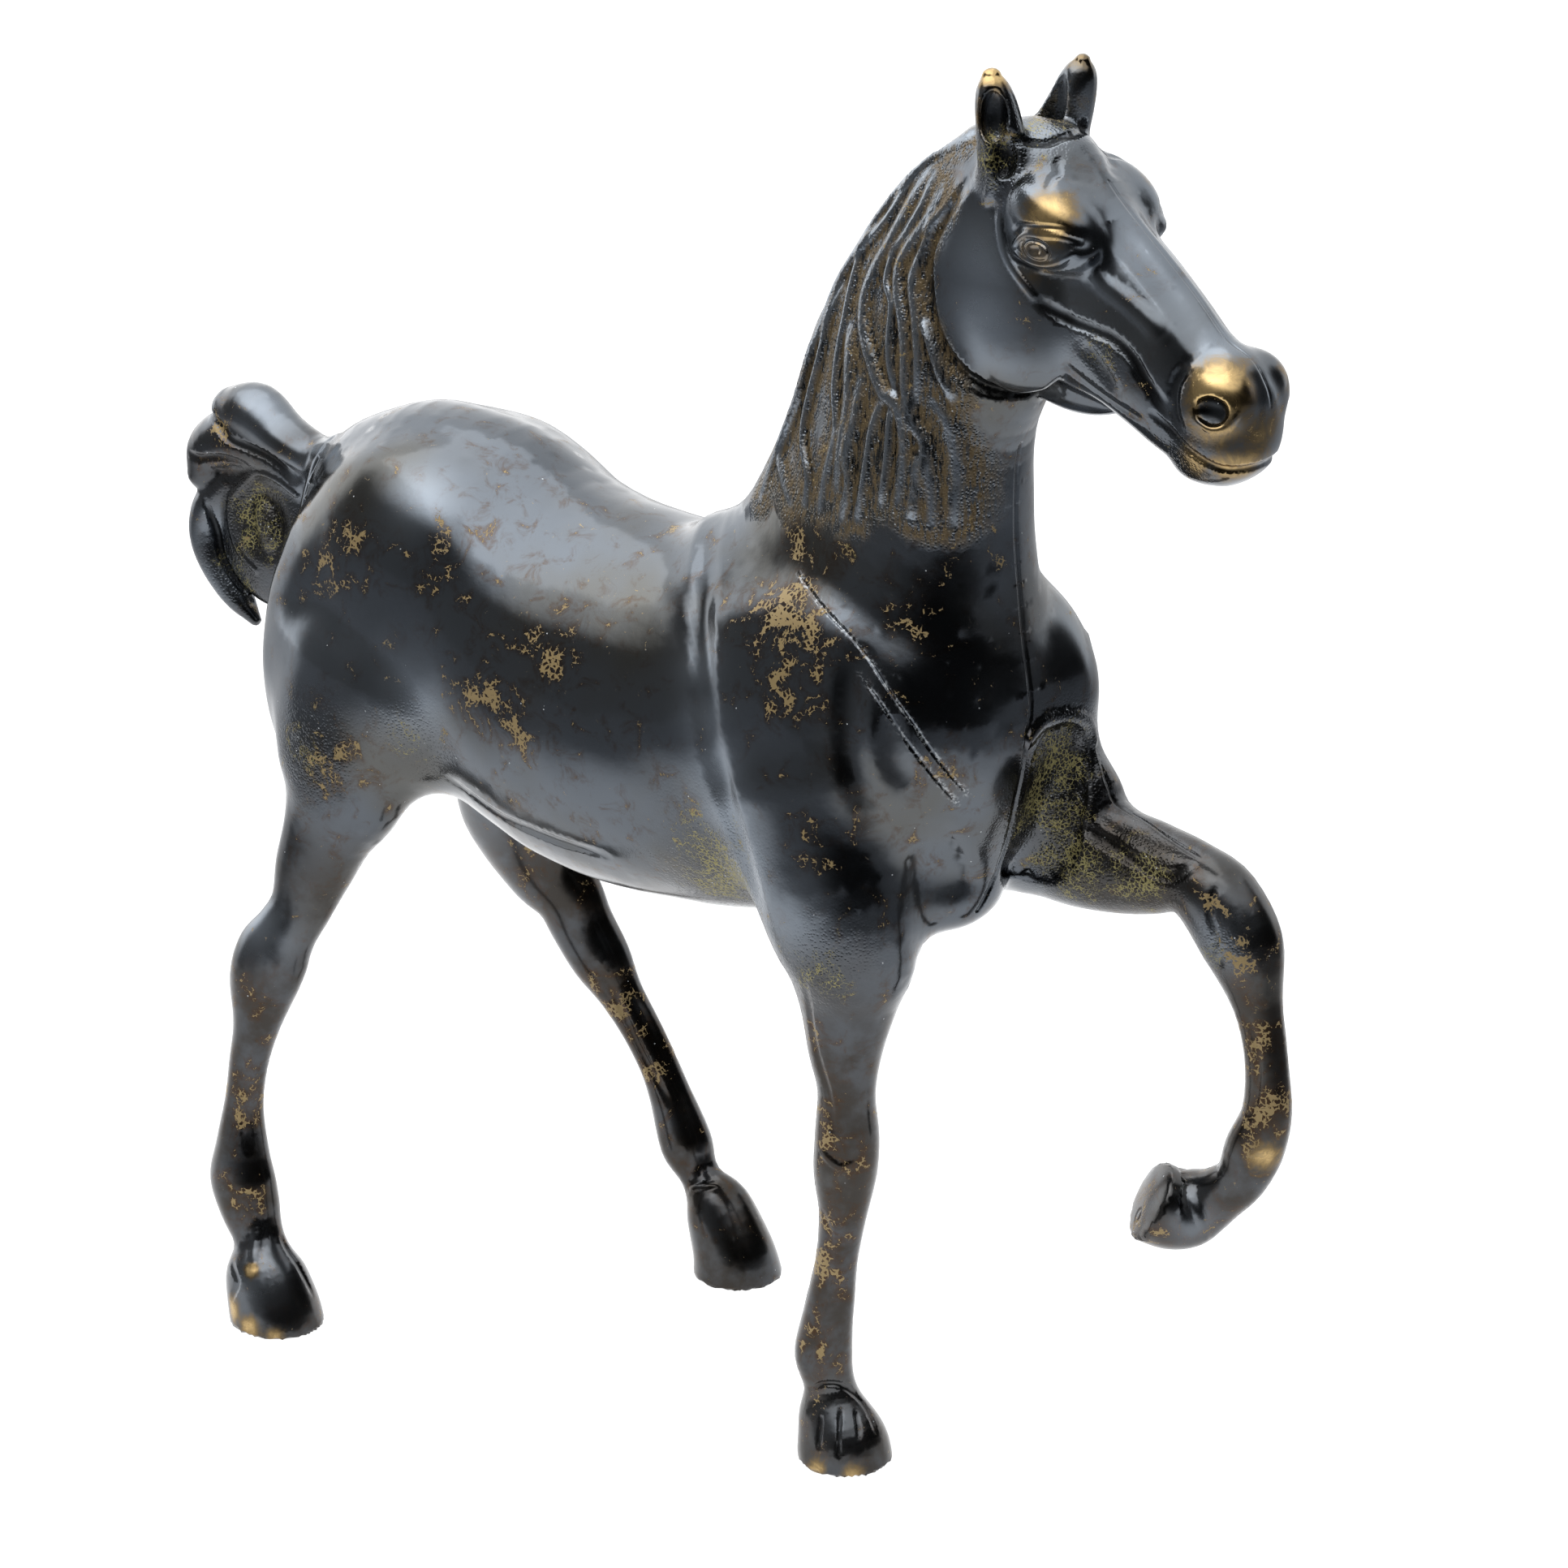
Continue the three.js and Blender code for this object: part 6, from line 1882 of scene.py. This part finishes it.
    def patina(self, ground: Ground) -> Socket:
        """Colours the patina: slate, warmer in clouds, rusty by the bare bronze, smoky down the legs, paler
        where highlights are painted.

        Args:
            ground: What the layers have in common.

        Returns:
            The colour.
        """
        tree, masks = ground.tree, ground.masks
        warm = add(tree, Kind.RANGE, self.warm_clouds.inputs(ground.cloud), **SOFT)
        wide = add(tree, Kind.NOISE, {"Vector": ground.place, "Scale": per(self.smoke_grain), "Detail": 4,
                                      "Roughness": 0.6})
        uneven = add(tree, Kind.RANGE, self.smoke_patches.inputs(wide), **SOFT)
        smoked = add(tree, Kind.MATH, {0: masks[Wear.SMOKED], 1: uneven}, **TIMES)
        rusty = {0: masks[Wear.GILT], 1: self.rust_weight, 2: ground.blotch}
        rusty = add(tree, Kind.MATH, rusty, **TIMES_PLUS)
        rusty = add(tree, Kind.RANGE, self.rust_ring.inputs(rusty), **SOFT)
        pits = add(tree, Kind.MATH, {0: masks[Wear.PITTED], 1: self.pit_smoke}, **TIMES)
        colour = linear(self.slate)
        # the paler patina paints highlights
        for share, top in ((warm, self.slate_warm), (smoked, self.smoke), (rusty, self.rust),
                           (pits, self.smoke), (masks[Wear.PAINTED_SHEEN], self.painted_sheen_colour)):
            colour = add(tree, Kind.MIX, {SHARE: share, UNDER: colour, OVER: linear(top)}, MIXED, **COLOURS)
        return colour

    def flecks(self, ground: Ground) -> Socket:
        """Scatters small tan flecks, thicker in some places and few under the painted highlights.

        Args:
            ground: What the layers have in common.

        Returns:
            The share of flecks.
        """
        tree = ground.tree
        small = add(tree, Kind.NOISE, {"Vector": ground.place, "Scale": per(self.fleck_grain), "Detail": 4,
                                       "Roughness": 0.7, "Distortion": 0.8})
        small = add(tree, Kind.MATH, {0: ground.cloud, 1: self.fleck_cloud, 2: small}, **TIMES_PLUS)
        bloomed = ground.masks[Wear.PAINTED_SHEEN]
        small = add(tree, Kind.MATH, {0: bloomed, 1: self.fleck_painted_sheen, 2: small}, **TIMES_PLUS)
        return add(tree, Kind.RANGE, self.fleck_share.inputs(small), **SOFT)

    def streaks(self, ground: Ground) -> Socket:
        """Streaks brown-gold along the mane's channels, with dark gaps.

        Args:
            ground: What the layers have in common.

        Returns:
            The share of brown-gold.
        """
        tree = ground.tree
        squeeze = (1.0, 1.0, self.streak_squeeze)
        long = add(tree, Kind.STRETCH, {"Vector": ground.place, "Scale": squeeze})
        streak = add(tree, Kind.NOISE, {"Vector": long, "Scale": per(self.streak_grain), "Detail": 3,
                                        "Roughness": 0.65})
        mixed = add(tree, Kind.MATH, {0: ground.blotch, 1: self.streak_blotch, 2: streak}, **TIMES_PLUS)
        share = add(tree, Kind.RANGE, self.streak_share.inputs(mixed), **SOFT)
        return add(tree, Kind.MATH, {0: share, 1: ground.masks[Wear.COMBED]}, **TIMES)

    def roughened(self, ground: Ground) -> Socket:
        """The places with a rough cast skin: the pitted ones and the mane's channels."""
        masks = ground.masks
        return add(ground.tree, Kind.MATH, {0: masks[Wear.PITTED], 1: masks[Wear.COMBED]}, **MOST)

    def dust_and_glints(self, ground: Ground) -> Socket:
        """Scatters white specks of dust, with painted glints as more of them on the rough skin, and beads of
        dry polish in the score lines.

        Args:
            ground: What the layers have in common.

        Returns:
            The share of white.
        """
        tree = ground.tree
        cells = add(tree, Kind.CELLS, {"Vector": ground.place, "Scale": per(self.speck_cell)}, "Distance")
        near = add(tree, Kind.RANGE, self.speck_size.inputs(cells))
        lots, rough = cells.node.outputs["Color"], self.roughened(ground)
        chosen = add(tree, Kind.MATH, {0: rough, 1: self.rough_glints, 2: lots}, **TIMES_PLUS)
        chosen = add(tree, Kind.RANGE, self.speck_share.inputs(chosen))
        specks = add(tree, Kind.MATH, {0: near, 1: chosen}, **TIMES)
        beads = add(tree, Kind.NOISE, {"Vector": ground.place, "Scale": per(self.bead_grain), "Detail": 2})
        beads = add(tree, Kind.RANGE, self.bead_share.inputs(beads), **SOFT)
        beads = add(tree, Kind.MATH, {0: beads, 1: ground.masks[Wear.CHALKED]}, **TIMES)
        return add(tree, Kind.MATH, {0: specks, 1: beads}, **MOST)

    def relief(self, ground: Ground, lace: Socket) -> Socket:
        """Raises pits in the cast skin and a slight ripple, and sets the bare places a hair lower.

        Args:
            ground: What the layers have in common.
            lace: The share of bare bronze.

        Returns:
            The height in metres.
        """
        tree, place = ground.tree, ground.place
        pits = add(tree, Kind.CELLS, {"Vector": place, "Scale": per(self.pit_cell)}, "Distance")
        pits = add(tree, Kind.RANGE, Ramp(*self.pit_wall, 0, self.pit_depth * MM).inputs(pits), **SOFT)
        lumps = add(tree, Kind.NOISE, {"Vector": place, "Scale": per(self.lump_grain)})
        lumps = add(tree, Kind.MATH, {0: lumps, 1: self.lump_height * MM, 2: pits}, **TIMES_PLUS)
        height = add(tree, Kind.MATH, {0: lumps, 1: self.roughened(ground)}, **TIMES)
        ripple = add(tree, Kind.NOISE, {"Vector": place, "Scale": per(self.ripple_grain), "Detail": 3})
        height = add(tree, Kind.MATH, {0: ripple, 1: self.ripple_height * MM, 2: height}, **TIMES_PLUS)
        return add(tree, Kind.MATH, {0: lace, 1: -self.bare_depth * MM, 2: height}, **TIMES_PLUS)


@dataclass(frozen=True)
class OpalAcrylic:
    """A sheet of opal acrylic lit from below, polished on top.

    It gives the eye an even white with hardly a shadow, and a faint mirror image. Its light falls off round
    the horse, so the patina mirrors a bright floor nearby and a dark one further out. To the camera it stays
    white all over.
    """

    white: str = "#6a6c70"
    polish: float = 0.12
    # the glow by the way from the middle, m
    falloff: Ramp = Ramp(0.2, 0.56, 1.05, 0.06)
    seen_glow: float = 0.9

    def material(self) -> bpy.types.Material:
        """Builds the finish.

        Returns:
            The material.
        """
        material = bpy.data.materials.new("opal_acrylic")
        material.use_nodes = True
        tree = material.node_tree
        shader = tree.nodes["Principled BSDF"]
        shader.inputs["Base Color"].default_value = linear(self.white)
        shader.inputs["Roughness"].default_value = self.polish
        shader.inputs["Emission Color"].default_value = (1, 1, 1, 1)
        place = add(tree, Kind.PLACE, out="Object")
        far = add(tree, Kind.VECTOR, {0: place}, "Value", operation="LENGTH")
        glow = add(tree, Kind.RANGE, self.falloff.inputs(far), **SOFT)
        seen = add(tree, Kind.RAY, out="Is Camera Ray")
        seen = add(tree, Kind.MATH, {0: seen, 1: self.seen_glow}, **TIMES)
        strength = add(tree, Kind.MATH, {0: glow, 1: seen}, **MOST)
        tree.links.new(strength, shader.inputs["Emission Strength"])
        return material


@dataclass
class Studio:
    """A lit white table with a softbox over it, in a room that is dark on the camera's side. mm.

    The room's ramps are of the way looked: towards the camera, upwards, and to the left.
    """

    front: float = 1000
    back: float = 2500
    lamp_sides: tuple = (880, 1000)
    lamp_place: tuple = (-185, -100, 820)
    lamp_radiance: float = 1.15
    to_camera: Ramp = Ramp(-0.5, -0.28)
    downwards: Ramp = Ramp(0.7, 0.48)
    bright_wall: Ramp = Ramp(-0.6, 0.6, 1.25, 2.1)
    dark_wall: Ramp = Ramp(0.1, 1.1, 0.015, 0.24)
    target: tuple = (0, 4.8, 130)
    distance: float = 1100
    azimuth: float = 38
    elevation: float = 21
    lens: float = 128.1
    sensor: float = 36
    nearest: float = 50

    def camera_way(self) -> Vector:
        """The direction from the horse to the camera."""
        a, e = math.radians(self.azimuth), math.radians(self.elevation)
        return Vector((math.sin(a) * math.cos(e), -math.cos(a) * math.cos(e), math.sin(e)))

    def table(self) -> bpy.types.Object:
        """Lays the table, square to the camera.

        Returns:
            The table.
        """
        corners = [(x * MM, y * MM, 0) for x, y in ((-self.back, -self.front), (self.back, -self.front),
                                                    (self.back, self.back), (-self.back, self.back))]
        mesh = bpy.data.meshes.new("table")
        mesh.from_pydata(corners, [], [(0, 1, 2, 3)])
        mesh.materials.append(OpalAcrylic().material())
        table = bpy.data.objects.new("table", mesh)
        table.rotation_euler.z = math.radians(self.azimuth)
        bpy.context.scene.collection.objects.link(table)
        log.info("%s: %.1f by %.1f m", table.name, 2 * self.back * MM, (self.back + self.front) * MM)
        return table

    def light(self) -> None:
        """Hangs the softbox and fills the room."""
        lamp = bpy.data.lights.new("softbox", "AREA")
        lamp.shape = "RECTANGLE"
        lamp.size, lamp.size_y = (side * MM for side in self.lamp_sides)
        lamp.energy = self.lamp_radiance * math.pi * lamp.size * lamp.size_y
        hung = bpy.data.objects.new("softbox", lamp)
        hung.location = [v * MM for v in self.lamp_place]
        hung.rotation_euler.z = math.radians(self.azimuth)
        bpy.context.scene.collection.objects.link(hung)
        self.room()
        log.info("%s: %.2f W", hung.name, lamp.energy)

    def room(self) -> None:
        """Makes the room: bright walls behind the horse, brightest on the left, and dark round the camera."""
        world = bpy.data.worlds.new("room")
        world.use_nodes = True
        tree = world.node_tree
        tree.nodes.clear()
        way = add(tree, Kind.PLACE, out="Generated")
        height = add(tree, Kind.AXES, {0: way}, "Z")
        azimuth = math.radians(self.azimuth)
        camera_way = Vector((math.sin(azimuth), -math.cos(azimuth), 0))
        left_way = Vector((-math.cos(azimuth), -math.sin(azimuth), 0))
        front = add(tree, Kind.VECTOR, {0: way, 1: camera_way}, "Value", operation="DOT_PRODUCT")
        left = add(tree, Kind.VECTOR, {0: way, 1: left_way}, "Value", operation="DOT_PRODUCT")
        front = add(tree, Kind.RANGE, self.to_camera.inputs(front), **SOFT)
        low = add(tree, Kind.RANGE, self.downwards.inputs(height), **SOFT)
        dark = add(tree, Kind.MATH, {0: front, 1: low}, **TIMES)
        bright = add(tree, Kind.RANGE, self.bright_wall.inputs(left), **SOFT)
        dim = add(tree, Kind.RANGE, self.dark_wall.inputs(left), **SOFT)
        shade = add(tree, Kind.MIX, {SHARE: dark, ONE: bright, OTHER: dim})
        seen = add(tree, Kind.RAY, out="Is Camera Ray")
        strength = add(tree, Kind.MATH, {0: shade, 1: seen}, **MOST)
        glow = add(tree, Kind.BACKGROUND, {"Color": (1, 1, 1, 1), "Strength": strength})
        add(tree, Kind.WORLD, {"Surface": glow})
        bpy.context.scene.world = world

    def camera(self, shift: Array) -> None:
        """Sets the camera up.

        Args:
            shift: How far the horse was moved onto its frame, mm.
        """
        lens = bpy.data.cameras.new("camera")
        lens.lens = self.lens
        lens.sensor_width = self.sensor
        lens.clip_start = self.nearest * MM
        way = self.camera_way()
        camera = bpy.data.objects.new("camera", lens)
        camera.location = (Vector(self.target) + Vector(shift.tolist()) + way * self.distance) * MM
        camera.rotation_euler = way.to_track_quat("Z", "Y").to_euler()
        bpy.context.scene.collection.objects.link(camera)
        bpy.context.scene.camera = camera
        bpy.context.scene.view_settings.view_transform = "Standard"


def main() -> None:
    """Builds the piece, the studio and the camera."""
    logging.basicConfig(level=logging.INFO, format="%(name)s: %(message)s")
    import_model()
    horse = Horse()
    horse.cast()
    studio = Studio()
    studio.table()
    studio.light()
    studio.camera(horse.shift)
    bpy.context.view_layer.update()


if __name__ == "__main__":
    main()
